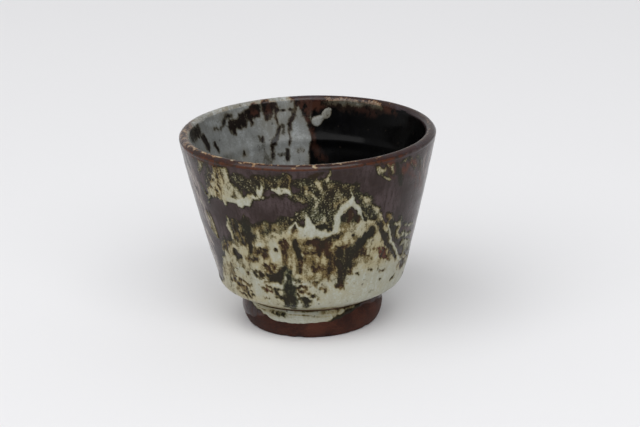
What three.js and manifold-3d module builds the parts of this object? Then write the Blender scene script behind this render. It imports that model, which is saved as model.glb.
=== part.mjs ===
// Stoneware tea bowl: a thrown clay body luted to a turned foot ring, under coats of poured glaze.
// Millimetres, +Z up. The origin is the centre of the plane the foot rests on, and -Y is the front.
// Angles run round the bowl in degrees from the front, positive towards +X.
import * as THREE from "three";
import { mergeVertices } from "three/addons/utils/BufferGeometryUtils.js";
import Module from "manifold-3d";

// Bowl, measured over the glaze
const rimDiameter = 110;
const bowlHeight = 84.8;

// Clay body
const shoulderDiameter = 77.4;
const shoulderRise = 6.2; // above the waist
const waistDiameter = 57.6; // where the body meets the foot
const shoulderRounding = 1.5; // length that the rounding takes off each side of the shoulder's corner
const wallBulge = 0.5; // how far the wall swells past a straight cone
const lipThickness = 3.2;
const baseWall = 5.2; // wall thickness just above the shoulder
const floorThickness = 6;
const floorFlatRadius = 17; // level part of the floor inside
const floorCorner = 9; // height of the sweep from the floor into the wall

// Foot ring
const footHeight = 12.5;
const footBaseDiameter = 57.4;
const footDiameter = 60.8; // at its belly
const footTopDiameter = 58.4;
const footBellyHeight = 6.5;
const footWall = 7.2; // from the outside of the base to the bore
const footBoreDraft = 1.2; // how much narrower the bore is at the top, on the radius
const footEdge = 0.9; // rounding of the edges that meet the table

// Coats and joints
const slipThickness = 0.6; // luting slip between foot and body
const slipInset = 0.4; // slip stays this far inside the narrower of the two faces
const glazeThickness = 0.5; // first coat, inside and out
const pourThickness = 0.5; // pale glaze poured over the first coat
const rimGlazeThickness = 0.5;
const clearance = 0.1; // between pieces that lie on each other
const seam = 0.4; // between coats that meet edge to edge

// Edge of the pour round the lower wall: angle in degrees, height above the waist
const lowerPourStart = 2;
const lowerPourEdge = [
  [-180, 28], [-150, 21], [-122, 33], [-96, 25], [-74, 34], [-60, 27], [-47, 39], [-30, 37], [-16, 42],
  [-7, 48], [4, 44], [20, 57], [34, 47], [52, 31], [74, 20], [104, 33], [132, 23], [156, 35], [180, 28],
];

// Edges of the run down the upper wall: angle in degrees, drop below the rim
const upperRunTop = [[-58, 19.5], [-49, 12.5], [-41, 4.5], [-35, 4.5], [-28, 12.5], [-17, 10.5]];
const upperRunBottom = [[-58, 23.5], [-45, 19.5], [-31, 19.5], [-17, 14.5]];

// Lower edges of the glazes on the foot: angle in degrees, drop below the foot's top
const skirtEdge = [[-58, 1.8], [-36, 4.5], [0, 5], [14, 4.8], [30, 2.5], [36, 1.8]];
const footGlazeDrop = 5.5;

// Inside, the pale and the dark glaze meet along a wavering line near the middle
const meetingOffset = 1.5; // how far the line lies to the right of the axis
const meetingWave = 2.5;
const meetingWaveLength = 46;

// Pale drip that hangs on the dark side of the far wall
const dripDrop = 10.4; // below the rim, to the middle of its bead
const dripAside = 4.2; // to the right of the axis
const dripBeadRadius = 2.4;
const dripTailRise = 5.6;
const dripTailReach = 5;

const turnSteps = 48;
const bandStep = 3.75; // degrees between points of a pour's edge
const wallSteps = 5;
const lipSteps = 8;
const cornerSteps = 5;
const shoulderSteps = 4;

const wasm = await Module();
wasm.setup();

const clay = new THREE.MeshStandardMaterial({ color: 0x4a2a22, roughness: 0.85, metalness: 0 });
const slipClay = new THREE.MeshStandardMaterial({ color: 0x5c3a2c, roughness: 0.9, metalness: 0 });
const darkGlaze = new THREE.MeshStandardMaterial({ color: 0x443b3b, roughness: 0.35, metalness: 0 });
const blackGlaze = new THREE.MeshStandardMaterial({ color: 0x120d10, roughness: 0.2, metalness: 0 });
const paleGlaze = new THREE.MeshStandardMaterial({ color: 0xa8a894, roughness: 0.4, metalness: 0 });
const greyGlaze = new THREE.MeshStandardMaterial({ color: 0x9a9e9a, roughness: 0.35, metalness: 0 });
const rustGlaze = new THREE.MeshStandardMaterial({ color: 0x6b3a28, roughness: 0.4, metalness: 0 });

// Sizes that follow from the ones above
const coat = clearance + glazeThickness;
const pour = coat + clearance + pourThickness;
const lipRadius = lipThickness / 2;
const clayRim = rimDiameter / 2 - clearance - rimGlazeThickness;
const lipHeight = bowlHeight - clearance - rimGlazeThickness - lipRadius;
const waistRadius = waistDiameter / 2;
const shoulderRadius = shoulderDiameter / 2;
const waistHeight = footHeight + slipThickness + 2 * clearance;
const shoulderHeight = waistHeight + shoulderRise;
const floorHeight = waistHeight + floorThickness;
const footBore = footBaseDiameter / 2 - footWall; // radius at the base
const footBoreTop = footBore - footBoreDraft;
const wallFootRadius = shoulderRadius - baseWall;
const wallFootHeight = Math.max(shoulderHeight, floorHeight) + floorCorner;
const reach = rimDiameter / 2 + baseWall; // radius that clears the whole bowl

const point = (x, y) => new THREE.Vector2(x, y);

// Control point of a curve that passes through a middle point on its way.
const through = (from, middle, to) => middle.clone().multiplyScalar(2).sub(from.clone().lerp(to, 0.5));

// Control point of a wall that swells sideways between two points.
function swollen(from, to, bulge) {
  const middle = from.clone().lerp(to, 0.5);
  return through(from, point(middle.x + bulge, middle.y), to);
}

// Point that lies a distance from one point on the way to another.
const towards = (from, to, distance) => from.clone().lerp(to, distance / from.distanceTo(to));

// Surfaces of the clay, as open lines of points (radius, height)
const shoulder = point(shoulderRadius, shoulderHeight);
const lipOuter = point(clayRim, lipHeight);
const lipInner = point(clayRim - lipThickness, lipHeight);
const wallFoot = point(wallFootRadius, wallFootHeight);

const waist = point(waistRadius, waistHeight);
const wallSwell = swollen(shoulder, lipOuter, wallBulge);
const underShoulder = towards(shoulder, waist, shoulderRounding);
const overShoulder = towards(shoulder, wallSwell, shoulderRounding);
const outerSurface = [
  waist,
  ...new THREE.QuadraticBezierCurve(underShoulder, shoulder, overShoulder).getPoints(shoulderSteps),
  ...new THREE.QuadraticBezierCurve(overShoulder, wallSwell, lipOuter).getPoints(wallSteps).slice(1),
];
const lipCurve = new THREE.EllipseCurve(clayRim - lipRadius, lipHeight, lipRadius, lipRadius, 0, Math.PI);
const lipSurface = lipCurve.getPoints(lipSteps);
const innerSwell = swollen(lipInner, wallFoot, wallBulge);
const innerSurface = [
  ...new THREE.QuadraticBezierCurve(lipInner, innerSwell, wallFoot).getPoints(wallSteps),
  ...new THREE.QuadraticBezierCurve(
    wallFoot,
    point(wallFootRadius - floorCorner / 4, floorHeight),
    point(floorFlatRadius, floorHeight),
  ).getPoints(cornerSteps).slice(1),
  point(0, floorHeight),
];
const footBase = point(footBaseDiameter / 2, footEdge);
const footTop = point(footTopDiameter / 2, footHeight);
const footBelly = through(footBase, point(footDiameter / 2, footBellyHeight), footTop);
const footSurface = [
  point(footBase.x - footEdge, 0),
  ...new THREE.QuadraticBezierCurve(footBase, footBelly, footTop).getPoints(cornerSteps),
];

// Line moved sideways by a distance, to the right of the way it runs. A point on the axis stays on it.
function offset(line, distance) {
  const normals = line.slice(1).map((end, i) => {
    const along = end.clone().sub(line[i]).normalize();
    return point(along.y, -along.x);
  });
  return line.map((at, i) => {
    const before = normals[Math.max(i - 1, 0)];
    const after = normals[Math.min(i, normals.length - 1)];
    const sum = before.clone().add(after);
    const moved = at.clone().addScaledVector(sum, distance / (1 + before.dot(after)));
    return at.x === 0 ? point(0, moved.y) : moved;
  });
}

// Line with a length taken off either end.
function shortened(line, atStart, atEnd) {
  const cutEnd = (points, length) => {
    const kept = [...points];
    let end = kept.pop();
    let left = length;
    while (end.distanceTo(kept.at(-1)) <= left) {
      left -= end.distanceTo(kept.at(-1));
      end = kept.pop();
    }
    return [...kept, towards(end, kept.at(-1), left)];
  };
  return cutEnd(cutEnd(line, atEnd).reverse(), atStart).reverse();
}

// Solid for joining and cutting, from any closed geometry.
function solid(geometry) {
  const bare = geometry.clone();
  bare.deleteAttribute("normal");
  bare.deleteAttribute("uv");
  const merged = mergeVertices(bare);
  const corners = merged.index.array;
  const faces = [];
  for (let i = 0; i < corners.length; i += 3) {
    const [a, b, c] = corners.slice(i, i + 3);
    if (a !== b && b !== c && c !== a) faces.push(a, b, c);
  }
  return new wasm.Manifold(
    new wasm.Mesh({
      numProp: 3,
      vertProperties: merged.attributes.position.array,
      triVerts: new Uint32Array(faces),
    }),
  );
}

// Geometry of a solid once it is cut.
function geometryOf(made) {
  const { vertProperties, triVerts } = made.getMesh();
  const geometry = new THREE.BufferGeometry();
  geometry.setAttribute("position", new THREE.BufferAttribute(vertProperties, 3));
  geometry.setIndex(new THREE.BufferAttribute(triVerts, 1));
  geometry.computeVertexNormals();
  return geometry;
}

// Profile of (radius, height) points turned round the bowl's axis, with the solid on the profile's left.
function turned(profile) {
  return new THREE.LatheGeometry(profile, turnSteps).rotateX(Math.PI / 2);
}

// Ring whose section is the closed loop of points.
const turnedRing = (loop) => turned([...loop, loop[0]]);

// Coat between two distances from a surface line, as a turned ring.
function coatRing(line, from, to) {
  return turnedRing([...offset(line, to), ...offset(line, from).reverse()]);
}

// Distance that a pour's edge gives for an angle, easing from one of its points to the next.
function edgeAt(edge, angle) {
  const next = Math.max(1, edge.findIndex(([at]) => at >= angle));
  const [[startAngle, startDistance], [endAngle, endDistance]] = [edge[next - 1], edge[next]];
  const share = THREE.MathUtils.smoothstep(angle, startAngle, endAngle);
  return THREE.MathUtils.lerp(startDistance, endDistance, share);
}

// Block round the axis between two angles. The heights of its lower and upper faces follow the angle.
function band(startAngle, endAngle, low, high) {
  const whole = endAngle - startAngle >= 360;
  const count = Math.ceil((endAngle - startAngle) / bandStep);
  const core = footBoreTop;
  const position = [];
  for (let i = 0; i < (whole ? count : count + 1); i++) {
    const angle = THREE.MathUtils.lerp(startAngle, endAngle, i / count);
    const turn = THREE.MathUtils.degToRad(angle);
    for (const [radius, height] of [[core, low], [reach, low], [reach, high], [core, high]])
      position.push(radius * Math.sin(turn), -radius * Math.cos(turn), height(angle));
  }
  const rows = position.length / 12;
  const index = [];
  const quad = (a, b, c, d) => index.push(a, b, c, a, c, d);
  for (let i = 0; i < (whole ? rows : rows - 1); i++)
    for (let side = 0; side < 4; side++) {
      const here = 4 * i;
      const there = 4 * ((i + 1) % rows);
      const beside = (side + 1) % 4;
      quad(here + side, there + side, there + beside, here + beside);
    }
  if (!whole) {
    quad(0, 1, 2, 3);
    quad(4 * rows - 1, 4 * rows - 2, 4 * rows - 3, 4 * rows - 4);
  }
  const geometry = new THREE.BufferGeometry();
  geometry.setAttribute("position", new THREE.Float32BufferAttribute(position, 3));
  geometry.setIndex(index);
  return geometry;
}

const bowl = new THREE.Group();

function add(name, geometry, material) {
  const mesh = new THREE.Mesh(geometry, material);
  mesh.name = name;
  bowl.add(mesh);
}

// Clay body: floor, wall and rounded lip, thrown in one piece
function clayBody() {
  return turned([
    point(0, waistHeight),
    ...outerSurface,
    ...lipSurface.slice(1),
    ...innerSurface.slice(1),
  ]);
}

// Turned foot ring, with a drafted bore
function footRing() {
  return turnedRing([
    point(footBore + footEdge, 0),
    ...footSurface,
    point(footBoreTop, footHeight),
    point(footBore, footEdge),
  ]);
}

// Luting slip squeezed between the foot ring and the body
function footSlip() {
  const outside = Math.min(footTopDiameter, waistDiameter) / 2 - slipInset;
  const inside = footBoreTop + slipInset;
  const bottom = footHeight + clearance;
  const top = bottom + slipThickness;
  return turnedRing([
    point(inside, bottom),
    point(outside, bottom),
    point(outside, top),
    point(inside, top),
  ]);
}

// Dark glaze over the whole outside, from the waist to just under the lip
const outerDarkGlaze = () => coatRing(shortened(outerSurface, coat, seam), clearance, coat);

// Thin rusty glaze over the lip
const rimGlaze = () => coatRing(lipSurface, clearance, clearance + rimGlazeThickness);

// Layer of pale glaze on top of the dark one, before its edges are cut
const pourLayer = solid(coatRing(shortened(outerSurface, 0, 2 * seam), coat + clearance, pour));

// Pale glaze poured round the lower wall, with an edge that rises and falls
function lowerPalePour() {
  const low = () => waistHeight + lowerPourStart;
  const high = (angle) => waistHeight + edgeAt(lowerPourEdge, angle);
  return geometryOf(pourLayer.intersect(solid(band(-180, 180, low, high))));
}

// Pale run down the upper wall at the left of the front
function upperPaleRun() {
  const [start, end] = [upperRunTop[0][0], upperRunTop.at(-1)[0]];
  const low = (angle) => bowlHeight - edgeAt(upperRunBottom, angle);
  const high = (angle) => bowlHeight - edgeAt(upperRunTop, angle);
  return geometryOf(pourLayer.intersect(solid(band(start, end, low, high))));
}

// Glaze that lines the inside, before it is parted into its two halves
function innerLining() {
  const line = shortened(innerSurface, seam, 0);
  return solid(turned([...offset(line, clearance).reverse(), ...offset(line, coat)]));
}

// Upright block on one side of the wavering line where the two inner glazes meet. Side is -1 or 1.
function meetingBlock(side) {
  const shape = new THREE.Shape();
  const waver = (y) => meetingOffset + meetingWave * Math.sin((2 * Math.PI * y) / meetingWaveLength);
  const edgeSteps = 2 * Math.ceil(rimDiameter / meetingWaveLength) * wallSteps;
  shape.moveTo(side * reach, -reach);
  for (let i = 0; i <= edgeSteps; i++) {
    const y = THREE.MathUtils.lerp(-reach, reach, i / edgeSteps);
    shape.lineTo(waver(y) + (side * seam) / 2, y);
  }
  shape.lineTo(side * reach, reach);
  return solid(new THREE.ExtrudeGeometry(shape, { depth: 2 * bowlHeight, bevelEnabled: false }));
}

const lining = innerLining();
const innerPaleGlaze = () => geometryOf(lining.intersect(meetingBlock(-1)));
const innerDarkGlaze = () => geometryOf(lining.intersect(meetingBlock(1)));

// Pale drip on the far wall inside: a round bead with a tail that climbs to the right
function innerPaleDrip() {
  const line = shortened(innerSurface, 2 * seam, 0);
  const layer = solid(turned([...offset(line, coat + clearance).reverse(), ...offset(line, pour)]));
  const bead = point(dripAside, bowlHeight - dripDrop);
  const tail = point(bead.x + dripTailReach, bead.y + dripTailRise);
  const lean = tail.clone().sub(bead).angle();
  const outline = new THREE.Shape();
  outline.absarc(bead.x, bead.y, dripBeadRadius, lean + Math.PI / 2, lean - Math.PI / 2);
  outline.absarc(tail.x, tail.y, dripBeadRadius / 2, lean - Math.PI / 2, lean + Math.PI / 2);
  const cutter = new THREE.ExtrudeGeometry(outline, {
    depth: reach,
    bevelEnabled: false,
    curveSegments: lipSteps,
  });
  return geometryOf(layer.intersect(solid(cutter.rotateX(Math.PI / 2).translate(0, reach, 0))));
}

// Glaze on the outside of the foot ring, before it is parted into pale and dark
const footCoat = solid(coatRing(shortened(footSurface.slice(1), 0, seam), clearance, coat));
const [skirtStart, skirtEnd] = [skirtEdge[0][0], skirtEdge.at(-1)[0]];
const aboveFoot = () => footHeight + coat;

// Pale glaze that ran down over the front of the foot
function footPaleSkirt() {
  const low = (angle) => footHeight - edgeAt(skirtEdge, angle);
  return geometryOf(footCoat.intersect(solid(band(skirtStart, skirtEnd, low, aboveFoot))));
}

// Dark glaze round the rest of the foot
function footDarkGlaze() {
  const kerf = THREE.MathUtils.radToDeg(seam / (footDiameter / 2));
  const low = () => footHeight - footGlazeDrop;
  return geometryOf(
    footCoat.intersect(solid(band(skirtEnd + kerf, skirtStart + 360 - kerf, low, aboveFoot))),
  );
}

add("clay_body", clayBody(), clay);
add("foot_ring", footRing(), clay);
add("foot_luting_slip", footSlip(), slipClay);
add("outer_dark_glaze", outerDarkGlaze(), darkGlaze);
add("lower_pale_pour", lowerPalePour(), paleGlaze);
add("upper_pale_run", upperPaleRun(), paleGlaze);
add("rim_glaze", rimGlaze(), rustGlaze);
add("inner_pale_glaze", innerPaleGlaze(), greyGlaze);
add("inner_dark_glaze", innerDarkGlaze(), blackGlaze);
add("inner_pale_drip", innerPaleDrip(), greyGlaze);
add("foot_pale_skirt", footPaleSkirt(), paleGlaze);
add("foot_dark_glaze", footDarkGlaze(), darkGlaze);

export default bowl;
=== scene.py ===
import bpy
import math
import random
import numpy as np
from mathutils import Matrix, Vector, noise


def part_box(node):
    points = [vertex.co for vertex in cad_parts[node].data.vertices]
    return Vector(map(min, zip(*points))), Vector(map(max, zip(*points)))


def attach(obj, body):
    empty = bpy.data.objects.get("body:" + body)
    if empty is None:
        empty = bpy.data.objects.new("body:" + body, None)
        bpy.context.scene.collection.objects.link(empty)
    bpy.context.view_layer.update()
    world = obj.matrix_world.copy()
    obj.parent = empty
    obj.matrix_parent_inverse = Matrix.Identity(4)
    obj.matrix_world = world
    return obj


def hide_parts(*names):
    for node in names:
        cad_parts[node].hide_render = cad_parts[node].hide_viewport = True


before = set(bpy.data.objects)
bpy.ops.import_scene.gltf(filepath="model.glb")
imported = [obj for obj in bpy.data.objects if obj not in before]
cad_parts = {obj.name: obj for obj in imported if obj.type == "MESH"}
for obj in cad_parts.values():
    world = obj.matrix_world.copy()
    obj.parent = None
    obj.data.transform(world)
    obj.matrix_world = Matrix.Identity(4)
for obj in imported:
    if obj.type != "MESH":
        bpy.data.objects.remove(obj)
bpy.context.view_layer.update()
mm = 0.001  # profiles, strokes and reliefs are in millimetres

form = {
    "coat": 0.6,  # glaze and its seat on the clay
    "seat": 0.1,
    "lipRadius": 2.2,  # over the glaze
    "lipSpread": 0.1,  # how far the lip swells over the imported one
    "lipLift": 0.5,
    "shoulder": (39.75, 18.75),  # corner of the outside, over the glaze
    "shoulderRounding": 1.3,
    "waistRadius": 29.3,
    "wallSwell": 0.75,
    "innerFoot": (32.8, 28.7),  # where the inner wall turns into the floor
    "innerSwell": 0.5,
    "floorHeight": 19.9,
    "floorFlat": 16.5,
    "floorLean": 2.2,
    "floorSweep": 10,
    "axisRadius": 0.8,  # disc that closes a turned piece on the axis
    "footBase": (29.0, 0.9),
    "footEdge": (0.25, 0.3),
    "footBellyHeight": 6.5,
    "footBellySwell": 0.3,
    "footTop": 29.4,
    "footBore": 21.5,
    "boreDraft": 1.2,
}

# Driving sizes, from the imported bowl
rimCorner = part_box("rim_glaze")[1] / mm
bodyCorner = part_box("clay_body")[0] / mm
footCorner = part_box("foot_ring")[1] / mm
rimRadius, bowlHeight = rimCorner.x + form["lipSpread"], rimCorner.z + form["lipLift"]
waistHeight, footHeight = bodyCorner.z, footCorner.z
bellyRadius = footCorner.x + form["footBellySwell"]


# Curve from start to end that passes through middle on its way
def bow(start, middle, end, count):
    start, middle, end = np.array(start, float), np.array(middle, float), np.array(end, float)
    pull = 2 * middle - (start + end) / 2
    t = np.linspace(0, 1, count)[:, None]
    return (1 - t) ** 2 * start + 2 * t * (1 - t) * pull + t ** 2 * end


# Corner rounded between two straight runs
def roundedCorner(before, corner, after, size, count):
    before, corner, after = np.array(before, float), np.array(corner, float), np.array(after, float)
    start = corner + (before - corner) * size / np.linalg.norm(before - corner)
    end = corner + (after - corner) * size / np.linalg.norm(after - corner)
    t = np.linspace(0, 1, count)[:, None]
    return (1 - t) ** 2 * start + 2 * t * (1 - t) * corner + t ** 2 * end


# Same line with evenly spaced points
def evenly(line, count):
    line = np.asarray(line, float)
    along = np.concatenate([[0], np.cumsum(np.hypot(*np.diff(line, axis=0).T))])
    places = np.linspace(0, along[-1], count)
    return np.stack([np.interp(places, along, line[:, 0]), np.interp(places, along, line[:, 1])], 1)


# Line moved sideways, to the right of the way it runs
def beside(line, distance):
    line = np.asarray(line, float)
    along = np.gradient(line, axis=0)
    along /= np.linalg.norm(along, axis=1)[:, None]
    return line + distance * np.stack([along[:, 1], -along[:, 0]], 1)


# Lines of (radius, height) over the glaze
lipCentre = (rimRadius - form["lipRadius"], bowlHeight - form["lipRadius"])
wallTop = (rimRadius, lipCentre[1])
innerTop = (lipCentre[0] - form["lipRadius"], lipCentre[1])
waist = (form["waistRadius"], waistHeight - form["seat"])


def outerLine():
    corner = roundedCorner(waist, form["shoulder"], wallTop, form["shoulderRounding"], 9)
    middle = (np.array(corner[-1]) + wallTop) / 2 + (form["wallSwell"], 0)
    return np.vstack([[waist], corner, bow(corner[-1], middle, wallTop, 30)[1:]])


def innerLine():
    foot, floor = form["innerFoot"], form["floorHeight"]
    middle = (np.array(innerTop) + foot) / 2 + (form["innerSwell"], 0)
    wall = bow(innerTop, middle, foot, 30)
    corner, flat = (foot[0] - form["floorLean"], floor), (form["floorFlat"], floor)
    sweep = roundedCorner(foot, corner, flat, form["floorSweep"], 12)
    return np.vstack([wall, sweep, [flat, (6, floor), (form["axisRadius"], floor - form["seat"])]])


def footLine():
    base, edge, top = form["footBase"], form["footEdge"], (form["footTop"], footHeight)
    belly = bow(base, (bellyRadius, form["footBellyHeight"]), top, 16)
    return np.vstack([[(base[0] - base[1], 0)], [(base[0] - edge[0], edge[1])], belly])


print("profiles ready: rim", round(rimRadius, 1), "mm, height", round(bowlHeight, 1), "mm")


# Small helpers for working on one object at a time
def onlySelect(piece):
    bpy.ops.object.select_all(action="DESELECT")
    piece.select_set(True)
    bpy.context.view_layer.objects.active = piece


def editAll(piece):
    onlySelect(piece)
    bpy.ops.object.mode_set(mode="EDIT")
    bpy.ops.mesh.select_all(action="SELECT")


def applyModifier(piece, kind, **settings):
    onlySelect(piece)
    modifier = piece.modifiers.new(kind.lower(), kind)
    for key, value in settings.items():
        setattr(modifier, key, value)
    bpy.ops.object.modifier_apply(modifier=modifier.name)


def subdivide(piece, levels):
    applyModifier(piece, "SUBSURF", levels=levels, render_levels=levels)


# Turns a line of (radius, height) into a piece: a circle, extruded and resized ring by ring. A filled one
# starts from a disc on the axis and ends open, or closed by a disc when capped. A closed one ends where it
# began.
def turn(name, line, segments, closed=False, filled=False, capped=False):
    line = [tuple(at) for at in line]
    bpy.ops.object.select_all(action="DESELECT")
    bpy.ops.mesh.primitive_circle_add(
        vertices=segments,
        radius=line[0][0] * mm,
        fill_type="TRIFAN" if filled else "NOTHING",
        location=(0, 0, line[0][1] * mm),
    )
    piece = renamed(bpy.context.object, name)
    bpy.ops.object.transform_apply(location=True, rotation=True, scale=True)
    editAll(piece)
    for (radius, height), (nextRadius, nextHeight) in zip(line, line[1:] + line[:1] * closed):
        lift = {"value": (0, 0, (nextHeight - height) * mm)}
        bpy.ops.mesh.extrude_region_move(TRANSFORM_OT_translate=lift)
        grow = nextRadius / radius
        bpy.ops.transform.resize(value=(grow, grow, 1), center_override=(0, 0, nextHeight * mm))
    if filled and not capped:
        bpy.ops.mesh.delete(type="FACE")
    bpy.ops.mesh.select_all(action="SELECT")
    bpy.ops.mesh.remove_doubles(threshold=1e-6)
    bpy.ops.mesh.normals_make_consistent(inside=False)
    bpy.ops.object.mode_set(mode="OBJECT")
    return piece


# Vertex positions in millimetres, and moving them
def spots(piece):
    co = np.empty(len(piece.data.vertices) * 3)
    piece.data.vertices.foreach_get("co", co)
    return co.reshape(-1, 3) / mm


def setSpots(piece, points):
    piece.data.vertices.foreach_set("co", (points * mm).ravel())
    piece.data.update()


def normals(piece):
    out = np.empty(len(piece.data.vertices) * 3)
    piece.data.vertices.foreach_get("normal", out)
    return out.reshape(-1, 3)


def raiseBy(piece, heights):
    setSpots(piece, spots(piece) + normals(piece) * np.asarray(heights)[:, None])


# Draws the columns of a turned piece together on the side looked at most, in degrees from the front
def gatherColumns(piece, side, amount):
    points = spots(piece)
    turned = np.arctan2(points[:, 0], -points[:, 1]) - math.radians(side)
    turned += -amount * np.sin(turned) + math.radians(side)
    reach = np.hypot(points[:, 0], points[:, 1])
    setSpots(piece, np.stack([reach * np.sin(turned), -reach * np.cos(turned), points[:, 2]], 1))


# Noise between about -1 and 1: size of its lumps, seed, and how far they are drawn out along the height
def noiseAt(points, size, seed, stretch=1.0):
    shift = Vector((17.3 * seed, 5.9 * seed, 9.1 * seed))
    scale = np.array([1, 1, 1 / stretch]) / size
    return np.array([noise.noise(Vector(at) + shift) for at in points * scale])


def ease(low, high, value):
    t = np.clip((value - low) / (high - low), 0, 1)
    return t * t * (3 - 2 * t)


# Hand-thrown unevenness that every coat follows, so that nothing comes apart
unevenness = {"lobes": 0.16, "dents": 0.10, "rings": 0.03, "fadeHeight": 14}


def wobble(points):
    lobes = noiseAt(points, 34, 3)
    dents = noiseAt(points, 13, 4, 0.7)
    rings = np.sin(points[:, 2] * 0.8 + 1.4 * noiseAt(points, 30, 5))
    fade = ease(0, unevenness["fadeHeight"], points[:, 2])
    return fade * (unevenness["lobes"] * lobes + unevenness["dents"] * dents + unevenness["rings"] * rings)


# Glaze tones: how thick the pale glaze lies, how warm, how rusty and how grainy. Below nought the thickness
# stands for a pale veil over the dark glaze: partly pale streaks of glaze and partly painted sheen, a painted
# reflection of the bright surroundings where the wall turns away; the lower, the paler the painted sheen.
tones = {
    "gleam": (-0.7, 0.4, 0.0, 0.03),
    "veil": (-0.3, 0.4, 0.0, 0.03),
    "purple": (0.02, 0.4, 0.0, 0.04),
    "plum": (0.06, 0.6, 0.4, 0.1),
    "dark": (0.18, 0.35, 0.0, 0.06),
    "slate": (0.28, 0.0, 0.0, 0.05),
    "spot": (0.19, 0.6, 0.05, 0.06),
    "umber": (0.19, 0.9, 0.15, 0.07),
    "brown": (0.28, 1.0, 0.1, 0.09),
    "olive": (0.31, 0.45, 0.0, 0.16),
    "pepper": (0.28, 0.3, 0.0, 0.34),
    "moss": (0.38, 0.7, 0.0, 0.2),
    "smoke": (0.42, 0.2, 0.05, 0.22),
    "ochre": (0.46, 1.0, 0.0, 0.1),
    "honey": (0.60, 1.0, 0.0, 0.08),
    "mottle": (0.61, 0.75, 0.0, 0.3),
    "cream": (0.77, 0.7, 0.0, 0.14),
    "bone": (0.78, 0.4, 0.0, 0.18),
    "blush": (0.72, 0.1, 0.0, 0.08),
    "white": (0.99, 0.1, 0.0, 0.1),
    "green": (0.90, 0.1, 0.0, 0.08),
    "rust": (0.12, 1.0, 0.9, 0.12),
    "amber": (0.46, 1.0, 0.1, 0.1),
    "tan": (0.55, 0.4, 0.0, 0.05),
    "mauve": (0.38, 0.1, 0.2, 0.03),
    "lip": (0.15, 0.9, 0.6, 0.05),
}

# Where the pale glaze round the lower wall ends: degrees from the front, height
lowerEdge = [
    (-180, 41), (-150, 34), (-122, 44), (-108, 36), (-96, 27), (-84, 21), (-74, 21), (-66, 24), (-62, 29),
    (-58, 34), (-50, 41), (-46, 46), (-36, 47), (-30, 51), (-20, 54), (-8, 55), (2, 55), (14, 57), (26, 57),
    (34, 56), (38, 50), (44, 42), (54, 34), (64, 28), (80, 27), (104, 46), (132, 36), (156, 48), (180, 41),
]

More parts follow.
